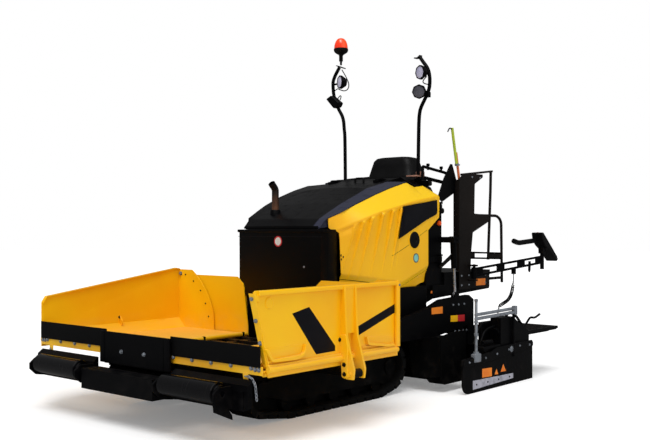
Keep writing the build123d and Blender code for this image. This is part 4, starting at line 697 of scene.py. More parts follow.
def wingDetails(side, sign):
    left = sign > 0

    def put(name, shape, finish, sharp=35.0):
        piece(name + side, mirrored(shape, sign), "wing_" + side, finish, sharp)

    put("wingTrim_", wingTrim(left), "hopperPaint", 38.0)
    put("wingStripes_",
        joined([slab(fromFore(stripe), "X", face, face + 0.0012, 0.0004) for stripe in wing["stripes"]]),
        "blackDecalAndShade")
    # bolts down the front edge, on the front strip and round the rear plate
    spots = [(x, foreY - 0.0005, 0.643) for x in (0.49, 0.728, 0.965, 1.2, 1.43)]
    spots += [(x, foreY - 0.0005, 0.636) for x in (1.475, 1.515)]
    if left:
        spots += [(face - 0.028, foreY + y, z) for y, z in ((-0.087, 1.2), (-0.041, 1.025), (0.007, 0.846))]
    put("wingFrontBolts_", bolts(spots, ahead, wing["boltSize"]), "zincSteel", 30.0)
    screws = ((1.426, 1.222), (1.289, 1.153), (1.171, 1.051), (1.088, 0.91), (1.038, 0.768))
    put("wingPlateScrews_", bolts([(x, rear - 0.0105, z) for x, z in screws], ahead, 0.009), "darkSteel", 30.0)
    put("wingCornerBolt_", bolts([(1.508, rear - 0.0105, 1.232)], ahead, 0.024), "zincSteel", 30.0)
    # lever plate over the front ear, with its three pins
    ear = rounded([(1.49, 0.775), (1.524, 0.831), (1.618, 0.839), (1.64, 0.716), (1.632, 0.555), (1.645, 0.474),
                   (1.61, 0.46), (1.571, 0.467), (1.562, 0.584), (1.53, 0.66)], 0.014)
    sunk = 0.0 if left else 0.03
    put("leverPlate_", slab([(x, z - sunk * (z > 0.6)) for x, z in ear], "Y", wing["ear"], wing["ear"] + 0.016, 0.004),
        "hopperPaint")
    pins = [(x, wing["ear"] - 0.0005, z) for x, z in ((1.548, 0.79), (1.6, 0.58), (1.602, 0.498))]
    put("leverPins_", bolts(pins, ahead, wing["boltSize"]), "darkSteel", 30.0)
    put("wingPostBolt_", bolts([(face + 0.044, rear - 0.03, 1.225)], outward, 0.012), "zincSteel", 30.0)
    # inner ends of the front strip and of the rubber above it
    put("stripEnd_", brick((0.456, 0.49), (foreY + 0.0005, foreY + 0.009), (0.592, 0.662), 0.001, 0.002), "hopperPaint")
    put("apronEnd_", brick((0.456, 0.482), (foreY - 0.0115, foreY - 0.0005), (0.654, 0.82), 0.001, 0.002),
        "apronRubber")
    # hanging tab with its chain
    put("chainTab_", slab([(1.335, 0.6), (1.395, 0.6), (1.395, 0.53), (1.345, 0.53)], "Y", foreY - 0.004, foreY + 0.004,
                          0.002, 0.01), "hopperPaint")
    if left:
        path = ((1.385, -0.012, 0.575), (1.44, -0.016, 0.575), (1.49, -0.018, 0.53), (1.5, -0.018, 0.47),
                (1.508, -0.018, 0.41))
    else:
        path = ((1.37, -0.012, 0.55), (1.375, -0.016, 0.515), (1.36, -0.02, 0.49))
    # the links' quarter turns follow the true side, so the chain isn't mirrored
    links = chain(bent([(sign * x, foreY + y, z) for x, y, z in path], 0.03), 0.017, 0.004)
    piece("chain_" + side, links, "wing_" + side, "zincSteel", 60.0)
    # lap seam where the wall sheet ends over the floor's bevel
    seam = fromFore([(0.9, 0.70), (1.559, 0.726), (1.559, 0.712), (0.9, 0.686)])
    put("wallSeam_", slab(seam, "X", face - 0.022, face - 0.0105, 0.001), "hopperPaint")


for side, sign in sides:
    wingDetails(side, sign)
print("hopper detailed")

# nose guard, push rollers and the shade inside each track
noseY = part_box("conveyor_nose_guard")[0][1]
nose = {"bolts": ((-0.17, 0.637), (0.152, 0.64)), "end": (0.41, 0.494)}
roller = {"radius": 0.09, "cap": 0.026, "shaft": 0.0236}
pair("noseEdge_", brick(nose["end"], (noseY, noseY + 0.02), (0.52, 0.805), 0.002, 0.004), "chassis", "blackPaint")
piece("noseBolts", bolts([(x, noseY - 0.0005, z) for x, z in nose["bolts"]], ahead, 0.02), "chassis", "zincSteel", 30.0)
low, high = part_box("track_frame_left")
middle = (low[0] + high[0]) / 2
shade = brick((middle - 0.01, middle + 0.01), (low[1] + 0.16, high[1] - 0.16), (0.07, 0.42), 0.003, 0.1)
pair("trackShade_", shade, "chassis", "framePaint")
low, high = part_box("push_roller_left")
foot = (low[0] + roller["cap"], (low[1] + high[1]) / 2, (low[2] + high[2]) / 2)
long = high[0] - low[0] - 2 * roller["cap"]
rim = [(roller["radius"] - inset, height) for inset, height in ((0.03, 0.0), (0.022, 0.004), (0.02, 0.02),
                                                                (0.008, 0.02), (0.001, 0.026))]
drum = [(0.0, 0.0), *rim, *((radius, long - height) for radius, height in rim[::-1]), (0.0, long)]
pair("pushRoller_", joined([turned(drum, foot, outward, 56),
                            disc(roller["shaft"], -roller["cap"], long + roller["cap"], foot, outward)]),
     "push_roller_", "rollerGloss", 30.0, ("push_roller_",))
print("push rollers turned")

# side doors: pressed sheet with a swept crease, folds and a turned-in lower edge
door = {"stations": (-0.75, -0.628, -0.523, -0.41, -0.288, -0.1, 0.062, 0.422, 1.2),
        "side": (0.5, 0.574, 0.635, 0.71, 0.772, 0.825, 0.844, 0.85, 0.85),
        "wall": 0.009, "folds": (-0.39, -0.31, -0.206, -0.062, 0.092, 0.237, 0.32), "depth": 0.036, "lean": 0.267,
        "straps": (1.4, 1.99), "axis": (0.846, 1.002), "cap": (0.484, 1.622), "label": (0.851, 0.517, 1.426),
        "latch": ((-0.506, 1.472), (-0.487, 1.456), (-0.503, 1.432)),
        "badge": (((0.179, 1.63), (0.7, 1.84), (0.9, 1.905), (0.915, 1.94)), ((0.258, 1.98), (0.91, 2.066)))}
doorSideX = smoothLine(door["stations"], door["side"])
doorCrease = smoothLine((-0.63, -0.531, -0.163, 0.228, 0.942, 1.1), (1.715, 1.751, 1.906, 1.996, 2.128, 2.15))
doorTopX = smoothLine((-0.628, -0.491, -0.29, 0.0, 0.248, 0.552, 1.0), (0.568, 0.612, 0.65, 0.686, 0.7, 0.705, 0.705))


def doorTopZ(y):
    # rises along the hood, peaks, dips for the platform and ends on a low corner
    return np.interp(y, (-0.628, -0.491, -0.29, 0.0, 0.248, 0.5, 0.552, 0.69, 0.86, 0.93, 0.98),
                     (1.846, 1.9, 1.99, 2.1, 2.178, 2.243, 2.246, 2.205, 2.226, 2.205, 2.16))


def doorLowZ(y):
    # falls to the middle of the door and rises to its rear corner
    return np.interp(y, (-0.508, 0.272, 0.752), (1.232, 1.127, 1.29))


def doorSide(y, z):
    # the side's plan curve, leaning in above the crease and below the lower fold, with a saw-tooth of folds between
    def soft(value, width):
        # rises from 0 to the value itself over a narrow band round 0
        return width * np.logaddexp(0, value / width)

    crease = doorCrease(y)
    slope = (doorSideX(y) - doorTopX(y)) / (doorTopZ(y) - crease)
    x = doorSideX(y) - slope * soft(z - crease, 0.014) - 0.5 * soft(doorLowZ(y) + 0.05 - z, 0.004)
    swell = np.exp(-((z - crease + 0.012) / 0.02) ** 2) * 0.005
    under = np.clip(crease - 0.03 - z, 0, None)
    slanted = y + door["lean"] * under
    folds = np.array(door["folds"])
    i = np.clip(np.searchsorted(folds, slanted, "right") - 1, 0, len(folds) - 2)
    share = (slanted - folds[i]) / (folds[i + 1] - folds[i])
    tooth = np.clip(1 - share, 0, None) ** 1.5 - 0.35
    tooth = np.where((slanted < folds[0]) | (slanted > folds[-1]), 0, tooth)
    rise = np.clip((crease - 0.02 - z) / 0.03, 0, 1)
    fade = rise * rise * (3 - 2 * rise) * np.clip(1 - (under - 0.05) / 0.6, 0, 1)
    scoop = np.exp(-((slanted + 0.43) / 0.07) ** 2) * np.exp(-((under - 0.02) / 0.035) ** 2)
    return x + swell + door["depth"] * (tooth * fade - 0.5 * scoop)


def onDoorAt(y, z):
    # the point of the door's side at (y, z)
    return float(doorSide(np.array([y]), np.array([z]))[0]), y, z


def doorShape():
    # the side's points in a grid from edge to edge, and the same a wall inside along their normals
    s, t = np.meshgrid(np.linspace(0, 1, 330), np.linspace(0, 1, 110), indexing="ij")
    tip = np.clip(1 - s / 0.12, 0, 1) * 0.098
    z = (1 - t) * doorLowZ(-0.508 + 1.26 * s) + t * doorTopZ(-0.53 + 1.51 * s - tip)
    front = np.interp(z, (1.232, 1.737), (-0.508, -0.525))
    back = np.interp(z, (1.29, 1.73, 1.87, 2.12), (0.752, 0.752, 0.965, 0.98))
    climb = np.clip((z - 1.695) / 0.06, 0, 1)
    y = front + (back - front) * s - tip * climb * climb * (3 - 2 * climb)
    outer = np.stack([doorSide(y, z), y, z], -1)
    normal = np.cross(np.gradient(outer, axis=0), np.gradient(outer, axis=1))
    normal /= np.linalg.norm(normal, axis=-1)[..., None]
    return shell(outer, outer - normal * np.sign(normal[..., :1]) * door["wall"])


def sillShape():
    # the bevelled strip that stays on the tank under the door's lower edge
    y, t = np.meshgrid(np.linspace(-0.5, 0.765, 60), np.linspace(0, 1, 8), indexing="ij")
    top = doorLowZ(y) - 0.005
    x = doorSide(y, top) - 0.001 - 0.03 * t - 0.004 * np.sin(t * np.pi)
    outer = np.stack([x, y + 0.035 * t * (y > 0.7), top - 0.115 * t], -1)
    return shell(outer, outer - (0.008, 0, 0.004))


def onDoor(low, high, proud, thick=0.0012, rows=24):
    # a thin sheet laid on the door, its lower and upper edges joined by rows across
    flat = low + (high - low) * np.linspace(0, 1, rows)[:, None, None]
    top = np.insert(flat, 0, doorSide(flat[..., 0], flat[..., 1]) + proud, axis=2)
    return shell(top, top - (thick, 0, 0))


pair("doorPanel_", doorShape(), "side_door_", "yellowPaint", 50.0)
pair("doorSill_", sillShape(), "chassis", "yellowPaint", 50.0)
hinge = [(0.0, 0.0), (0.019, 0.0), (0.02, 0.002), (0.02, 0.058), (0.019, 0.06), (0.0, 0.06)]
pair("doorStraps_", joined([shape for z in door["straps"] for shape in (
    brick((0.83, 0.842), (0.66, 1.0), (z - 0.03, z + 0.03)), turned(hinge, (*door["axis"], z - 0.03), up))]),
    "side_door_", "blackPaint", 35.0, ("side_door_",))
badge = onDoor(*(along(edge, 40)[0] for edge in door["badge"]), 0.013)
pair("doorBadge_", badge, "side_door_", "blackDecalAndShade", 60.0)
# filler cap in its raised ring, the seam through it, three latch holes as black discs of painted shade, and a plain
# round label
capAt = onDoorAt(*door["cap"])
cap = [(0.0, -0.004), (0.088, -0.004), (0.09, 0.006), (0.084, 0.013), (0.03, 0.015), (0.028, 0.011), (0.0, 0.011)]
pair("fillerCap_", turned(cap, capAt, outward, 48), "side_door_", "blackPlastic")
pair("fillerRing_", ringBar(capAt, outward, 0.097, 0.007, 56, 10), "side_door_", "yellowPaint", 60.0)
for name, ends in (("doorSeamLow_", ((0.09, 1.458), (0.4, 1.574))), ("doorSeamHigh_", ((0.575, 1.662), (0.728, 1.73)))):
    line, _ = along(ends, 24)
    pair(name, onDoor(line - (0, 0.002), line + (0, 0.002), 0.0008, 0.0008, 2), "side_door_", "blackDecalAndShade", 60.0)
# the latch holes are black discs: painted shade in place of the openings
pair("latchHoles_", joined([disc(0.011, -0.003, 0.0015, onDoorAt(*spot), outward, 14) for spot in door["latch"]]),
     "side_door_", "blackDecalAndShade")
pair("labelRing_", disc(0.052, -0.002, 0.0012, door["label"], outward, 36), "side_door_", "greySheet")
pair("labelDisc_", disc(0.04, -0.002, 0.002, door["label"], outward, 36), "side_door_", "tealSheet")
print("doors pressed")

# front housing: level, half width and setback of the front
housing = {"front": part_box("front_housing")[0][1], "rear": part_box("front_housing")[1][1], "label": 1.612,
           "levels": ((1.03, 0.545, 0.006), (1.036, 0.55, 0.0), (1.12, 0.618, 0.0), (1.70, 0.62, 0.0),
                      (1.706, 0.622, 0.0))}


def housingShape():
    # loops of the plan outline at each level; the front corners are cut off at a slant
    rings = []
    for z, half, inset in housing["levels"]:
        front, back = housing["front"] + inset + 0.001, housing["rear"]
        loop = rounded([(-half, back), (-half, front + 0.07), (-half + 0.035, front), (half - 0.035, front),
                        (half, front + 0.07), (half, back)], 0.012, 3)
        rings.append(np.insert(loop, 2, z, axis=1))
    return lofted(rings)


front = housing["front"]
spot = (-0.003, front + 0.001, housing["label"])
piece("housingShell", housingShape(), "chassis", "boxPaint", 25.0, ("front_housing",))
piece("housingLip", brick((-0.628, 0.628), (front - 0.006, housing["rear"]), (1.706, 1.736), 0.006, 0.05), "chassis",
      "blackPaint")
piece("housingSeam", brick((-0.6, 0.6), (front, front + 0.01), (1.66, 1.664), 0.001, 0.002), "chassis", "blackDecalAndShade")
piece("housingLabelRing", disc(0.056, 0.0, 0.0012, spot, ahead, 32), "chassis", "redSheet")
piece("housingLabelDisc", disc(0.042, 0.0, 0.002, spot, ahead, 32), "chassis", "paleSheet")
piece("housingBolts", bolts([(0.361, front + 0.001, 1.355)], ahead, 0.012), "chassis", "zincSteel", 30.0)

# hood: a pressed roof whose rims lie over the doors' top edges
hood = {"low": -0.723, "high": 0.532, "wallY": (-0.723, -0.483, 0.147, 0.532), "wallX": (0.52, 0.582, 0.685, 0.697),
        "wallZ": (1.745, 1.775, 1.985, 2.115), "sheet": 0.008,
        "lineY": (-0.723, -0.628, -0.483, -0.29, 0.0, 0.147, 0.3, 0.532),
        "shoulderX": (0.49, 0.486, 0.475, 0.462, 0.455, 0.452, 0.45, 0.45),
        "shoulderZ": (1.77, 1.846, 1.915, 2.004, 2.118, 2.18, 2.216, 2.27),
        "roofZ": (1.774, 1.85, 1.921, 2.012, 2.135, 2.2, 2.236, 2.29)}


def hoodShape():
    # across each station: up the inner wall, out over the rim, in to the shoulder, then a parabola over the roof
    y = np.unique(np.concatenate([np.linspace(hood["low"], hood["high"], 40), hood["lineY"]]))
    wallX, wallZ = (np.interp(y, hood["wallY"], hood[key]) for key in ("wallX", "wallZ"))
    shoulderX, shoulderZ, roofZ = (np.interp(y, hood["lineY"], hood[key])
                                   for key in ("shoulderX", "shoulderZ", "roofZ"))
    rimX = np.where(y < -0.63, 0.545, doorTopX(y) + 0.003)
    rimZ = np.where(y < -0.63, 1.757 + (y + 0.723) * 1.03, doorTopZ(y) + 0.013)
    columns = [(wallX, wallZ), (wallX, rimZ - 0.013), (rimX, rimZ - 0.01), (rimX, rimZ)]
    columns += [(shoulderX * share, shoulderZ + (roofZ - shoulderZ) * (1 - share ** 2))
                for share in np.linspace(1, 0, 8)]
    half = np.array([[x, y, z] for x, z in columns]).transpose(2, 0, 1)
    outer = np.concatenate([half, half[:, -2::-1] * (-1, 1, 1)], 1)
    inner = outer - (0, 0, hood["sheet"])
    inner[:, [0, 1, -2, -1], 0] -= np.sign(outer[:, [0, 1, -2, -1], 0]) * hood["sheet"]
    inner[:, [0, -1], 2] = outer[:, [0, -1], 2]
    inner[:, [2, -3], 0] = inner[:, [1, -2], 0] + np.sign(outer[:, [2, -3], 0]) * 0.002
    return shell(outer, inner)


piece("hoodShell", hoodShape(), "hood", "hoodPaint", 24.0, ("hood",))
piece("hoodRest", brick((-0.54, 0.54), (-0.69, -0.6), (1.73, 1.75), 0.003, 0.004), "chassis", "blackPaint")
collar = [(0.0, -0.06), (0.06, -0.06), (0.054, 0.03), (0.05, 0.036), (0.0, 0.036)]
fittings = [brick((-0.52, 0.52), (-0.728, -0.716), (1.742, 1.772), 0.003, 0.004),
            turned(collar, (-0.3, -0.488, 1.912), up, 32)]
for x in (-0.33, 0.33):
    fittings.append(brick((x - 0.03, x + 0.03), (0.462, 0.532), (2.262, 2.29), 0.003, 0.004))
    fittings.append(disc(0.016, 0.0, 0.06, (x - 0.03, 0.532, 2.296), outward, 20))
piece("hoodFittings", joined(fittings), "hood", "blackPaint")
handle = ((0.05, 0.46, 2.27), (0.05, 0.46, 2.315), (0.17, 0.46, 2.315), (0.17, 0.46, 2.27))
piece("hoodHandle", tube(handle, 0.02, 0.011, 12), "hood", "blackPlastic", 60.0)

# what shows behind the doors
marker = [(0.0, -0.002), (0.028, -0.002), (0.03, 0.006), (0.024, 0.026), (0.0, 0.03)]
knob = [(0.0, -0.03), (0.012, -0.03), (0.012, 0.0), (0.03, 0.0), (0.033, 0.006), (0.03, 0.018), (0.0, 0.02)]
skirt = [(0.80, 1.026), (0.83, 1.026), (0.83, 1.052), (0.80, 1.052)]
pair("marker_", turned(marker, (0.821, 1.0, 1.805), outward, 28), "chassis", "markerOrange")
pair("panelKnob_", turned(knob, (0.835, 1.04, 1.946), outward, 28), "chassis", "blackPlastic")
pair("skirtLabel_", slab(skirt, "X", 0.851, 0.8525, 0.0004), "chassis", "orangeSheet")
print("housing and hood done")

# columns beside the platform, with their rails
column = {"x": (0.812, 0.892), "rail": 0.85, "railRadius": 0.017, "bend": 0.07,
          "outline": ((1.325, 2.316), (1.422, 2.384), (1.845, 2.391), (1.845, 2.356), (1.664, 2.271), (1.653, 1.923),
                      (1.984, 1.91), (1.984, 1.83), (1.62, 1.7), (1.585, 1.478), (1.57, 1.262), (1.575, 1.04),
                      (1.325, 1.04)),
          "brackets": (((1.57, 1.455), (1.57, 1.478), (2.33, 1.452), (2.33, 1.432)),
                       ((1.56, 1.39), (1.56, 1.412), (2.33, 1.386), (2.33, 1.365)),
                       ((1.56, 1.40), (1.57, 1.47), (1.72, 1.465), (1.72, 1.39)),
                       ((2.02, 1.38), (2.02, 1.455), (2.33, 1.445), (2.33, 1.37))),
          "rails": (((2.098, 2.44), (2.09, 2.2), (2.034, 1.37)),
                    ((1.62, 1.903), (2.25, 1.903), (2.348, 1.84), (2.366, 1.08)),
                    ((2.366, 1.14), (2.06, 1.14))),
          "bolts": ((1.37, 1.09), (1.53, 1.09), (1.37, 1.2), (1.53, 1.2), (1.9, 1.1), (1.9, 1.19), (1.6, 2.35),
                    (1.78, 2.35))}


def columnShapes():
    # folded plate, its inner flanges, pierced brackets, the brace to the cowl, top bar and round rails
    low, high = column["x"]
    shapes = [slab(column["outline"], "X", high - 0.014, high, 0.002, 0.012),
              brick((low, high), (1.32, 1.332), (1.256, 2.31), 0.002, 0.003),
              brick((low, high - 0.014), (1.56, 1.572), (1.262, 1.69), 0.002, 0.003),
              brick((0.856, high), (1.575, 2.0), (1.045, 1.24), 0.003, 0.006),
              slab([(1.33, 1.50), (0.99, 1.325), (1.015, 1.29), (1.33, 1.44)], "X", 0.83, 0.842, 0.002),
              slab([(1.44, 2.362), (1.44, 2.386), (2.115, 2.455), (2.115, 2.431)], "X", 0.828, 0.872, 0.004)]
    shapes += [slab(outline, "X", 0.846, 0.858, 0.0015) for outline in column["brackets"]]
    return shapes + [tube([(column["rail"], y, z) for y, z in path], column["bend"], column["railRadius"], 18, 8)
                     for path in column["rails"]]


def armHinge():
    # two eyes and the pin that carry the console arm
    eyes = [brick((0.88, 0.986), (1.514, 1.582), (z, z + 0.02), 0.002, 0.01) for z in (1.135, 1.305)]
    return eyes + [disc(0.016, 0.0, 0.2, (0.952, 1.548, 1.13), up, 20)]


for side, sign in sides:
    shape = joined(columnShapes() + (armHinge() if sign > 0 else []))
    piece("column_" + side, mirrored(shape, sign), "chassis", "columnPaint", 30.0, ("platform_column_" + side,))
columnFace = column["x"][1]
pair("columnBolts_", bolts([(columnFace, y, z) for y, z in column["bolts"]], outward, 0.012),
     "chassis", "zincSteel", 30.0)
plate = slab([(1.69, 1.072), (1.69, 1.152), (1.9, 1.152), (1.9, 1.072)], "X",
             columnFace - 0.0005, columnFace + 0.0015, 0.0004)
pair("columnLabel_", plate, "chassis", "orangeSheet")

# ranging stick in its bracket, and the levers beside it
stick = {"foot": (0.85, 1.403, 2.17), "top": (0.85, 1.236, 2.9), "greenFrom": 0.42, "orangeTo": 0.62,
         "clamps": (0.04, 0.43)}
foot, top = np.array(stick["foot"]), np.array(stick["top"])
run = top - foot
piece("stickGreen", pipe([foot + run * stick["greenFrom"], top], 0.016, 14), "chassis", "stickGreen", 60.0,
      ("ranging_stick",))
piece("stickOrange", pipe([foot + (0, 0.012, 0), foot + run * stick["orangeTo"] + (0, 0.02, 0)], 0.015, 14), "chassis",
      "stickOrange", 60.0)
plate = ((1.225, 2.486), (1.262, 2.486), (1.395, 2.216), (1.38, 2.19), (1.047, 2.045), (0.965, 2.1), (1.088, 2.319))
lever = [(0.0, 0.0), (0.012, 0.0), (0.012, 0.04), (0.02, 0.046), (0.02, 0.072), (0.0, 0.075)]
bracket = [slab(plate, "X", 0.828, 0.838, 0.002),
           slab([(0.9, 2.30), (0.9, 2.34), (1.30, 2.30), (1.30, 2.26)], "X", 0.69, 0.70, 0.002),
           tube([(0.7, 0.868, 2.445), (0.72, 1.317, 2.39), (0.8, 1.38, 2.31), (0.83, 1.338, 2.2)], 0.06, 0.017),
           pipe([(0.7, 0.868, 2.445), (0.7, 0.85, 2.3)], 0.017),
           turned(lever, (0.7, 0.968, 2.41), up, 18), turned(lever, (0.71, 1.223, 2.39), up, 18),
           tube([top - (0, 0, 0.02), top - (0, 0.05, 0.0), top - (0, 0.09, 0.05)], 0.03, 0.007, 8)]
piece("stickBracket", joined(bracket), "chassis", "blackPaint", 40.0)
clamps = []
for share in stick["clamps"]:
    spot = foot + run * share + (0, 0.006, 0)
    clamps.append(turned([(0.0, -0.012), (0.024, -0.012), (0.026, 0.0), (0.024, 0.012), (0.0, 0.012)], spot, run, 20))
    clamps.append(turned([(0.0, 0.0), (0.009, 0.0), (0.009, 0.03), (0.0, 0.032)], spot + (0, 0.024, 0), (0, 1, 0), 12))
piece("stickClamps", joined(clamps), "chassis", "zincSteel")
gauges = [brick((0.5, 0.64), (0.82, 0.98), (2.334, 2.35), 0.002, 0.01),
          brick((0.5, 0.6), (1.01, 1.05), (2.334, 2.40), 0.002, 0.006)]
piece("gaugePlates", joined(gauges), "chassis", "copperPlate")
print("columns and stick built")

# light masts: bent tube, lamps, wires, and the beacon on the right one; all points are (x, z)
mastY = 1.002
masts = {
    "left": {
        "tube": ((0.54, 2.3), (0.548, 2.872), (0.556, 3.052), (0.577, 3.134), (0.649, 3.246), (0.699, 3.342),
                 (0.704, 3.467), (0.679, 3.57), (0.608, 3.654), (0.566, 3.712)),
        "lamps": (((0.647, 3.519), (-0.3, -0.95, -0.06), "lampLens"),
                  ((0.613, 3.305), (0.28, -0.94, -0.18), "greySheet")),
        "top": ((0.5, 3.7), (0.545, 3.697), (0.58, 3.722)),
        "wires": (((0.66, 3.48), (0.6, 3.44), (0.62, 3.4), (0.69, 3.385)),),
        "box": brick((0.66, 0.705), (mastY - 0.03, mastY + 0.02), (3.24, 3.3), 0.003, 0.008)},
    "right": {
        "tube": ((-0.54, 2.3), (-0.545, 2.872), (-0.557, 2.951), (-0.571, 3.107), (-0.66, 3.233), (-0.727, 3.385),
                 (-0.739, 3.514), (-0.737, 3.577), (-0.689, 3.663), (-0.636, 3.728)),
        "lamps": (((-0.53, 3.53), (-0.45, -0.89, 0.0), "lampLens"),),
        "top": ((-0.666, 3.748), (-0.557, 3.706)),
        "wires": (((-0.595, 3.698), (-0.525, 3.6), (-0.478, 3.505), (-0.501, 3.444), (-0.56, 3.432), (-0.63, 3.457),
                   (-0.67, 3.478), (-0.713, 3.447)), ((-0.66, 3.35), (-0.63, 3.385), (-0.6, 3.375), (-0.625, 3.33))),
        "box": slab([(-0.803, 3.35), (-0.725, 3.389), (-0.595, 3.29), (-0.624, 3.243), (-0.683, 3.226)], "Y",
                    mastY - 0.06, mastY + 0.03, 0.005, 0.012)}}
lamp = {"radius": 0.078, "depth": 0.105, "back": 0.05, "wire": 0.0062, "tube": 0.021}
beacon = {"x": -0.61, "foot": 3.955, "radius": 0.084, "height": 0.133,
          "stem": ((0.0, 3.757), (0.012, 3.757), (0.014, 3.8), (0.024, 3.805), (0.024, 3.87), (0.03, 3.882),
                   (0.075, 3.91), (0.088, 3.93), (0.089, 3.955), (0.084, 3.96), (0.0, 3.96))}


def inMast(path):
    # points of (x, z) in the plane of the masts
    return np.array([(x, mastY, z) for x, z in path])


def lampShapes(centre, direction):
    # eight-sided bowl that tapers to the back, its bezel, and a dished lens behind the bezel's lip
    radius, half = lamp["radius"], lamp["depth"] / 2
    bowl = [(0.0, -half), (lamp["back"], -half), (radius, -0.006), (radius + 0.004, -0.004), (radius + 0.004, 0.03),
            (radius - 0.004, 0.034), (radius - 0.008, 0.026), (0.0, 0.024)]
    lens = [(0.0, 0.02), (radius - 0.009, 0.02), (radius - 0.012, 0.027), (radius * 0.5, 0.033), (0.0, 0.035)]
    return turned(bowl, centre, direction, 8), turned(lens, centre, direction, 32)


for side, sign in sides:
    mast = masts[side]
    post, top = mast["tube"], np.array(mast["top"])
    foot = [(0.0, 0.0), (0.045, 0.0), (0.045, 0.026), (0.0, 0.03)]
    shapes = [pipe(nurbsLine(inMast(post)), lamp["tube"], 18), turned(foot, (sign * 0.54, mastY, 2.292), up),
              slab([*top, *(top[::-1] + (0.0, 0.012))], "Y", mastY - 0.03, mastY + 0.03, 0.002, 0.003), mast["box"]]
    for number, ((x, z), direction, lensFinish) in enumerate(mast["lamps"]):
        centre = np.array((x, mastY - 0.07, z)) + unit(direction) * 0.01
        bowl, lens = lampShapes(centre, direction)
        piece(f"lampLens_{side}_{number}", lens, "chassis", lensFinish, 30.0)
        reach = np.interp(z, [p[1] for p in post], [p[0] for p in post])
        shapes += [bowl, tube([centre - unit(direction) * 0.03, (x, mastY, z), (reach, mastY, z)], 0.03, 0.012, 12)]
    shapes += [pipe(nurbsLine(inMast(path)), lamp["wire"], 8) for path in mast["wires"]]
    piece("mast_" + side, joined(shapes), "chassis", "blackPaint", 30.0, ("light_mast_" + side,))
piece("beaconBase", turned(beacon["stem"], (beacon["x"], mastY, 0.0), up, 40), "chassis", "blackPlastic", 30.0,
      ("beacon",))
climb = np.linspace(0, math.pi / 2, 14)
dome = [(0.0, 0.0), *zip(beacon["radius"] * np.clip(np.cos(climb), 0, 1) ** 0.8 * (climb < 1.57),
                         beacon["height"] * np.sin(climb))]
piece("beaconDome", turned(dome, (beacon["x"], mastY, beacon["foot"]), up, 40), "chassis", "beaconLens", 50.0)
print("masts and beacon built")

# seat: two stuffed pads on their plates; caps are how far a point may move, seams are (axis, place, pressed axis)
pads = {"voxel": 0.007, "pressure": 4.0, "frames": 20, "squareness": 0.32, "seamDeep": 0.007, "seamWide": 0.008}


def padShape(low, high):
    # superellipsoid: half extents times the signed power of sine and cosine
    low, high = np.array(low), np.array(high)
    u, v = np.meshgrid(np.linspace(-np.pi / 2, np.pi / 2, 30), np.arange(60) * 2 * np.pi / 60, indexing="ij")

    def bulge(wave):
        # towards 1 and -1 for all but the smallest values
        return np.sign(wave) * np.abs(wave) ** pads["squareness"]

    points = np.stack([bulge(np.cos(u)) * bulge(np.cos(v)), bulge(np.cos(u)) * bulge(np.sin(v)), bulge(np.sin(u))], -1)
    return lofted((low + high) / 2 + points * (high - low) / 2)


def pointsOf(mesh):
    # the mesh's points as an array
    points = np.zeros(len(mesh.vertices) * 3)
    mesh.vertices.foreach_get("co", points)
    return points.reshape(-1, 3)


def stuffed(name, low, high, cap, seams):
    # remeshed, blown up by cloth pressure with each point's move capped, then sewn channels pressed in
    made = piece(name, padShape(low, high), "chassis", "seatVinyl", 180.0)
    remesh = made.modifiers.new("even", "REMESH")
    remesh.mode = "VOXEL"
    remesh.voxel_size = pads["voxel"]
    even = bpy.data.meshes.new_from_object(made.evaluated_get(bpy.context.evaluated_depsgraph_get()))
    made.modifiers.clear()
    made.data = even
    moved = pointsOf(even)
    cloth = made.modifiers.new("swell", "CLOTH")
    cloth.settings.use_pressure = True
    cloth.settings.uniform_pressure_force = pads["pressure"]
    cloth.settings.effector_weights.gravity = 0.0
    cloth.point_cache.frame_end = pads["frames"]
    for frameNumber in range(1, pads["frames"] + 1):
        bpy.context.scene.frame_set(frameNumber)
    shift = pointsOf(made.evaluated_get(bpy.context.evaluated_depsgraph_get()).to_mesh()) - moved
    made.modifiers.clear()
    bpy.context.scene.frame_set(1)
    far = np.linalg.norm(shift, axis=1, keepdims=True)
    moved = moved + shift * np.minimum(1, cap / np.maximum(far, 1e-9))
    for axis, place, pressed in seams:
        face = np.sign(moved[:, pressed] - (low[pressed] + high[pressed]) / 2)
        moved[:, pressed] -= face * pads["seamDeep"] * np.exp(-((moved[:, axis] - place) / pads["seamWide"]) ** 2)
    even.vertices.foreach_set("co", moved.ravel())
    even.materials.clear()
    even.materials.append(finishes["seatVinyl"])
    even.shade_smooth()
    made.modifiers.new("fine", "SUBSURF").levels = 1


stuffed("seatCushion", (-0.232, 1.515, 1.624), (0.232, 1.949, 1.703), 0.008,
        ((0, -0.13, 2), (0, 0.13, 2), (1, 1.66, 2), (1, 1.8, 2)))
stuffed("seatBack", (-0.222, 1.884, 1.722), (0.222, 1.958, 2.122), 0.007,
        ((0, -0.12, 1), (0, 0.12, 1), (2, 1.85, 1), (2, 1.98, 1)))
rim = rounded([(-0.236, 1.511), (0.236, 1.511), (0.236, 1.953), (-0.236, 1.953)], 0.06, 8)
plates = [brick((-0.19, 0.19), (1.97, 1.986), (1.612, 2.028), 0.003, 0.03),
          brick((-0.2, 0.2), (1.54, 1.93), (1.61, 1.622), 0.002, 0.02),
          pipe([(x, y, 1.665) for x, y in (*rim, rim[0])], 0.004, 8)]
piece("seatPlates", joined(plates), "chassis", "blackPlastic", 35.0, ("operator_seat",))
print("seat stuffed")

# console: level, half width and half depth of its crowned cover
console = {"y": 1.322, "coverLevels": ((2.317, 0.352, 0.19), (2.352, 0.352, 0.19), (2.374, 0.335, 0.176),
                                       (2.485, 0.307, 0.152), (2.558, 0.285, 0.138), (2.588, 0.255, 0.118),
                                       (2.597, 0.2, 0.08)),
           "levers": (-0.26, 0.26), "buttons": (-0.12, -0.06, 0.0, 0.06, 0.12)}


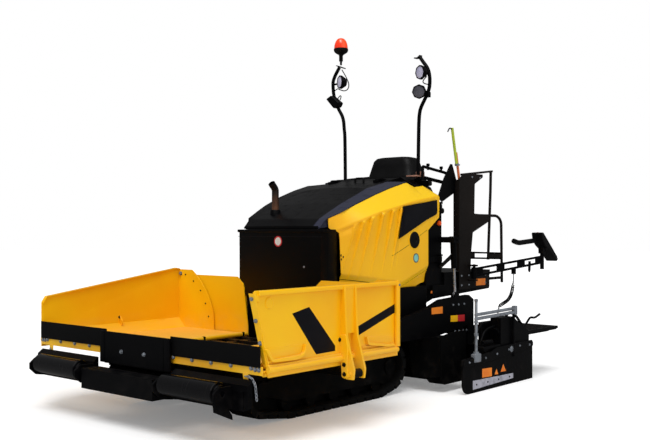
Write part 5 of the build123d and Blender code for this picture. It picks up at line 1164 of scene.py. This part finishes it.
def consoleCover():
    # loops of a rounded rectangle that shrink towards a crowned top
    rings = []
    for z, halfX, halfY in console["coverLevels"]:
        front, back = console["y"] - halfY, console["y"] + halfY
        loop = rounded([(-halfX, front), (halfX, front), (halfX, back), (-halfX, back)], min(halfY, 0.11), 8)
        crown = 0.012 * (1 - (loop[:, :1] / 0.352) ** 2) * (z > 2.36)
        rings.append(np.hstack([loop, z + crown]))
    return lofted(rings)


consoleParts = [slab([(1.094, 1.256), (1.352, 1.256), (1.312, 2.262), (1.094, 2.262)], "X", -0.3, 0.3, 0.012),
                slab([(-0.42, 1.107), (0.42, 1.107), (0.42, 1.537), (-0.42, 1.537)], "Z", 2.259, 2.319, 0.012, 0.12, 8),
                brick((-0.33, 0.33), (1.307, 1.552), (1.99, 2.03), 0.008, 0.03)]
piece("consoleShell", joined(consoleParts), "chassis", "blackPlastic", 40.0, ("control_console",))
piece("consoleCover", consoleCover(), "chassis", "blackPlastic", 45.0)
lever = [(0.0, 0.0), (0.034, 0.0), (0.03, 0.012), (0.012, 0.03), (0.009, 0.09), (0.018, 0.1), (0.02, 0.14), (0.0, 0.15)]
button = [(0.0, 0.0), (0.012, 0.0), (0.01, 0.012), (0.0, 0.013)]
controls = [turned(lever, (x, 1.46, 2.028), up) for x in console["levers"]]
controls += [turned(button, (x, 1.5, 2.028), up, 16) for x in console["buttons"]]
piece("consoleControls", joined(controls), "chassis", "blackPlastic")
piece("consoleScreen", brick((-0.14, 0.14), (1.318, 1.326), (2.08, 2.22), 0.003, 0.003), "chassis", "displayGlass")

# console arm: its two chords are (height at the pivot, height at the post)
arm = {"pivot": (0.952, 1.548), "post": (1.3, 2.55), "low": (1.182, 1.319), "high": (1.262, 1.392), "depth": 0.025,
       "webs": ((0.03, 0.13), (0.34, 0.46), (0.66, 0.78), (0.95, None))}
armRun = np.array(arm["post"]) - arm["pivot"]
armReach = float(np.linalg.norm(armRun))
armRun /= armReach


def armPlate(outline, half, edge, middle=0.0):
    # an outline of (along, z) given thickness and turned to lie on the line from the pivot to the post
    points, faces = slab(outline, "X", middle - half, middle + half, edge)
    t, s = points[:, 0], points[:, 1]
    x = arm["pivot"][0] + s * armRun[0] + t * armRun[1]
    y = arm["pivot"][1] + s * armRun[1] - t * armRun[0]
    return np.stack([x, y, points[:, 2]], 1), faces


def armBand(first, last, below, above, half, edge):
    # a plate from one chord's line to another's, between two distances from the pivot
    def height(line, s):
        start, end = arm[line[0]]
        return start + (end - start) * s / armReach + line[1]

    return armPlate([(first, height(below, first)), (first, height(above, first)), (last, height(above, last)),
                     (last, height(below, last))], half, edge)


armShapes = [armBand(0.03, armReach, (which, 0.0), (which, arm["depth"]), 0.016, 0.003) for which in ("low", "high")]
armShapes += [armBand(first, last or armReach, ("low", 0.0), ("high", 0.02), 0.006, 0.001)
              for first, last in arm["webs"]]
armShapes += [armPlate([(0.87, 1.215), (0.855, 1.24), (0.86, 1.35), (0.9, 1.35), (0.895, 1.24), (0.885, 1.215)],
                       0.005, 0.003, -0.023),
              disc(0.034, 0.0, 0.13, (*arm["pivot"], 1.165), up, 28),
              disc(0.024, 0.0, 0.189, (*arm["post"], 1.25), up),
              brick((1.1284, 1.1724), (2.0971, 2.1411), (1.2, 1.28), 0.003, 0.006)]
piece("consoleArm", joined(armShapes), "console_arm", "blackPaint", 35.0, ("console_arm",))

# screed panel on the post, with its keys on a sloping face
panel = {"foot": (2.44, 1.712), "end": (2.852, 1.375), "keysX": (1.258, 1.286, 1.314, 1.342),
         "keysDown": (0.35, 0.385, 0.42, 0.455), "x": (1.228, 1.372),
         "side": ((2.412, 1.694), (2.436, 1.606), (2.5, 1.54), (2.6, 1.488), (2.79, 1.345), (2.815, 1.342),
                  (2.842, 1.372), (2.44, 1.70))}
slopeRun = unit(np.array(panel["end"]) - panel["foot"])


def onSlope(shape):
    # (x, down the slope, out of it) laid on the panel's sloping face
    points, faces = shape
    y = panel["foot"][0] + points[:, 1] * slopeRun[0] - points[:, 2] * slopeRun[1]
    z = panel["foot"][1] + points[:, 1] * slopeRun[1] + points[:, 2] * slopeRun[0]
    return np.stack([points[:, 0], y, z], 1), faces


panelShapes = [slab(panel["side"], "X", *panel["x"], 0.008, 0.012),
               brick((1.265, 1.335), (2.515, 2.585), (1.44, 1.55), 0.004, 0.01),
               onSlope(brick((1.232, 1.368), (0.02, 0.51), (-0.012, 0.002), 0.003, 0.012)),
               tube([(1.25, 2.46, 1.6), (1.25, 2.3, 1.59), (1.25, 2.05, 1.575), (1.25, 1.94, 1.6)], 0.08, 0.03, 20)]
piece("screedPanel", joined(panelShapes), "console_arm", "blackPlastic", 35.0, ("control_panel",))
screen = onSlope(brick((1.25, 1.35), (0.17, 0.3), (0.0, 0.005), 0.001, 0.006))
piece("panelScreen", screen, "console_arm", "displayGlass")
key = [(0.0, 0.0), (0.0085, 0.0), (0.008, 0.007), (0.0, 0.008)]
keys = [onSlope(turned(key, (x, s, 0.001), up, 16)) for x in panel["keysX"] for s in panel["keysDown"]]
piece("panelKeys", joined(keys), "console_arm", "greySheet")
stop = [(0.0, 0.0), (0.013, 0.0), (0.013, 0.012), (0.021, 0.016), (0.021, 0.026), (0.016, 0.031), (0.0, 0.032)]
piece("panelStop", onSlope(turned(stop, (1.268, 0.07, 0.001), up, 28)), "console_arm", "redSheet")
print("console and panel built")

# screed ends: wear strip, spindle, lifting tubes, hoses and blank plates; outlines are (y, z)
end = {"face": 1.45, "spindleY": 0.772, "spindle": 0.0155, "tube": 0.0175, "treads": 9, "treadGap": 0.082, "coils": 9,
       "strip": ((0.704, 0.037), (0.704, 0.132), (1.558, 0.114), (1.558, 0.058)),
       "ridge": ((0.514, 0.30), (0.514, 0.365), (0.7, 0.372), (1.06, 0.403), (1.185, 0.438), (1.54, 0.446),
                 (1.724, 0.452), (1.9, 0.44), (2.02, 0.43), (2.02, 0.38), (1.54, 0.34), (0.9, 0.30)),
       "labels": (((0.895, 0.237), (0.895, 0.142), (1.096, 0.134), (1.096, 0.229)),
                  ((1.155, 0.144), (1.197, 0.203), (1.235, 0.141)), ((1.287, 0.158), (1.345, 0.24), (1.403, 0.156))),
       "bolts": ((0.62, 0.335), (0.95, 0.35), (1.19, 0.37), (1.45, 0.39), (1.7, 0.41), (1.93, 0.4)),
       "hoses": ((((1.37, 1.50, 0.72), (1.37, 1.62, 0.8), (1.37, 1.78, 0.74), (1.37, 1.92, 0.62)), 0.06, 0.016),
                 (((1.33, 1.05, 0.47), (1.33, 1.14, 0.62), (1.36, 1.3, 0.66)), 0.07, 0.012),
                 (((1.28, 1.0, 0.48), (1.26, 1.16, 0.68), (1.3, 1.34, 0.7), (1.34, 1.42, 0.66)), 0.09, 0.012),
                 (((1.35, 1.98, 0.57), (1.33, 2.19, 0.69), (1.33, 2.31, 0.675), (1.33, 2.43, 0.71)), 0.04, 0.013))}
extension = "screed_extension_"
face = end["face"]
sheet = [(0.99, 0.12), (1.02, 0.09), (1.2, 0.09), (1.2, 0.46), (0.99, 0.46)]
pair("augerSheet_", slab(sheet, "Y", 0.518, 0.53, 0.002, 0.01), "chassis", "blackPaint")
pair("walkPlank_", brick((0.62, 1.42), (2.0, 2.708), (0.512, 0.552), 0.004, 0.02), extension, "blackPaint")
pair("wearStrip_", slab(end["strip"], "X", face - 0.001, face + 0.007, 0.002), extension, "bareSteel")
pair("stripBolts_", bolts([(face + 0.006, y, 0.085) for y in (0.77, 1.0, 1.23, 1.47)], outward, 0.011), extension,
     "darkSteel", 30.0)
pair("endRidge_", slab(end["ridge"], "X", face - 0.001, face + 0.012, 0.003, 0.01), extension, "blackPaint")
pair("endBolts_", bolts([(face + 0.011, y, z) for y, z in end["bolts"]], outward, 0.013), extension, "zincSteel", 30.0)
boss = [(0.0, 0.0), (0.034, 0.0), (0.034, 0.014), (0.026, 0.02), (0.0, 0.021)]
pair("endBoss_", turned(boss, (face, 1.51, 0.39), outward, 28), extension, "zincSteel")
pair("endLabels_", joined([slab(outline, "X", face, face + 0.0015, 0.0004) for outline in end["labels"]]), extension,
     "orangeSheet")


def spindleShape():
    # threaded rod with its collars and clamp, and the two lifting tubes that start at it
    y, rod = end["spindleY"], end["spindle"]
    shapes = [turned([(0.0, 0.0), (rod, 0.0), (rod, 0.66), (0.011, 0.667), (0.0, 0.667)], (face, y, 0.33), up, 20)]
    for z, radius, height in ((0.41, 0.03, 0.022), (0.6, 0.024, 0.03), (0.74, 0.022, 0.02), (0.97, 0.02, 0.022)):
        shapes.append(disc(radius, 0.0, height, (face, y, z), up, 20))
    shapes.append(brick((face - 0.03, face + 0.03), (y - 0.06, y + 0.06), (0.325, 0.412), 0.004, 0.012))
    first, last = y - 0.01, y + 0.83
    for lift in (0.0, 0.044):
        shapes.append(pipe([(face, first, 0.782 + lift), (face, last, 0.799 + lift)], end["tube"], 18))
    block = brick((face - 0.024, face + 0.024), (last - 0.03, last + 0.025), (0.77, 0.87), 0.004, 0.01)
    return joined(shapes + [block])


def driveShape(sign):
    # drive motor, hoses and their trays in the gap over the end plate, and a spring wound the same way on both sides
    motor = [(0.0, 0.0), (0.05, 0.0), (0.05, 0.09), (0.062, 0.1), (0.062, 0.17), (0.045, 0.18), (0.045, 0.22),
             (0.0, 0.22)]
    shapes = [turned(motor, (1.37, 1.30, 0.58), (0, 1, 0.25), 28),
              *(tube(path, bend, radius, 12) for path, bend, radius in end["hoses"]),
              brick((1.31, 1.43), (0.97, 1.5), (0.405, 0.46), 0.004, 0.01),
              brick((1.21, 1.26), (1.2, 1.97), (0.44, 0.70), 0.004, 0.02)]
    angle = np.linspace(0, 2 * np.pi * end["coils"], end["coils"] * 14)
    coil = np.stack([sign * 1.40 + 0.024 * np.cos(angle), 0.98 + 0.2 * angle / angle[-1],
                     0.5 + 0.024 * np.sin(angle)], 1)
    return joined([mirrored(joined(shapes), sign), pipe(coil, 0.006, 8)])


pair("spindle_", spindleShape(), extension, "zincSteel")
for side, sign in sides:
    piece("endDrive_" + side, driveShape(sign), extension + side, "blackPaint", 45.0)
treads = [2.0 + k * end["treadGap"] for k in range(end["treads"])]
tread = joined([brick((0.66, 1.4), (y, y + 0.014), (0.5545, 0.56), 0.001, 0.002) for y in treads])
pair("walkTread_", tread, extension, "darkSteel")

# tow arms: bolts and blank plates, and the shield in front of each auger
tow = {"face": 0.985, "bolts": ((1.046, 0.89), (1.16, 0.887), (1.276, 0.887), (1.087, 0.59), (1.17, 0.588),
                                (1.255, 0.587), (1.329, 0.586)),
       "labels": (("towLabels_", "orangeSheet", ((0.618, 0.884), (0.618, 0.814), (0.834, 0.81), (0.834, 0.887))),
                  ("towLabelsLight_", "yellowPaint", ((0.995, 0.772), (0.995, 0.703), (1.14, 0.698), (1.14, 0.77))),
                  ("towLabelsRed_", "redSheet", ((1.14, 0.77), (1.14, 0.698), (1.286, 0.692), (1.286, 0.766))))}
pair("towBolts_", bolts([(tow["face"], y, z) for y, z in tow["bolts"]], outward, 0.013), "screed", "zincSteel", 30.0)
for name, finish, outline in tow["labels"]:
    pair(name, slab(outline, "X", tow["face"], tow["face"] + 0.0015, 0.0004), "screed", finish)
shield = slab([(0.78, 0.56), (1.19, 0.6), (1.19, 0.17), (0.84, 0.13)], "Y", 0.462, 0.472, 0.002, 0.015)
pair("augerShield_", shield, "chassis", "framePaint")
print("screed detailed")

# floor and light
studio = {"floor": 60.0, "floorColour": 0.95, "lift": 0.2, "world": 0.5, "reflected": 0.14,
          "suns": (("key", (0.3, -0.6, 1.4), 1.7, 34.0), ("fill", (1.0, -0.1, 0.7), 0.35, 60.0))}


def seenBy(tree, *rays):
    # 1 for the named kinds of ray, 0 for the others
    path = tree.nodes.new("ShaderNodeLightPath")
    share = path.outputs[rays[0]]
    for ray in rays[1:]:
        greater = tree.nodes.new("ShaderNodeMath")
        greater.operation = "MAXIMUM"
        tree.links.new(share, greater.inputs[0])
        tree.links.new(path.outputs[ray], greater.inputs[1])
        share = greater.outputs[0]
    return share


def layFloor():
    # a pale square that keeps the shadow and looks dark only to reflections
    half = studio["floor"]
    mesh = bpy.data.meshes.new("floor")
    mesh.from_pydata([(-half, -half, 0), (half, -half, 0), (half, half, 0), (-half, half, 0)], [], [(0, 1, 2, 3)])
    floor = bpy.data.objects.new("floor", mesh)
    bpy.context.scene.collection.objects.link(floor)
    finish = Finish("floorFinish", Roughness=0.95, Specular_IOR_Level=0.0, Emission_Color=(1, 1, 1, 1))
    pale = finish.mix(finish.noise(3.0), studio["floorColour"], studio["floorColour"] * 0.985)
    reflection = Wire(finish, seenBy(finish.tree, "Is Glossy Ray"))
    finish.give("Base Color", finish.mix(reflection, pale, studio["reflected"]))
    glow = Wire(finish, seenBy(finish.tree, "Is Camera Ray", "Is Transmission Ray")) * studio["lift"]
    finish.give("Emission Strength", glow)
    mesh.materials.append(finish.material)


def lightUp():
    # world strength: its own, up to 1 for the camera, down to the reflected level for reflections; then two suns
    world = bpy.data.worlds.new("studio")
    world.use_nodes = True
    bpy.context.scene.world = world
    nodes, links = world.node_tree.nodes, world.node_tree.links
    back = nodes["Background"]
    back.inputs["Color"].default_value = (1, 1, 1, 1)
    before = None
    for rays, after in ((("Is Camera Ray", "Is Transmission Ray"), 1.0), (("Is Glossy Ray",), studio["reflected"])):
        level = nodes.new("ShaderNodeMapRange")
        level.inputs["To Min"].default_value = studio["world"]
        if before:
            links.new(before, level.inputs["To Min"])
        level.inputs["To Max"].default_value = after
        links.new(seenBy(world.node_tree, *rays), level.inputs["Value"])
        before = level.outputs[0]
    links.new(before, back.inputs["Strength"])
    for name, direction, power, spread in studio["suns"]:
        sun = bpy.data.lights.new(name, "SUN")
        sun.energy = power
        sun.angle = math.radians(spread)
        holder = bpy.data.objects.new(name, sun)
        holder.rotation_euler = Vector(direction).to_track_quat("Z", "Y").to_euler()
        bpy.context.scene.collection.objects.link(holder)


layFloor()
lightUp()
bpy.context.scene.view_settings.view_transform = "Standard"
print("floor and light set")

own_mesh(cord)
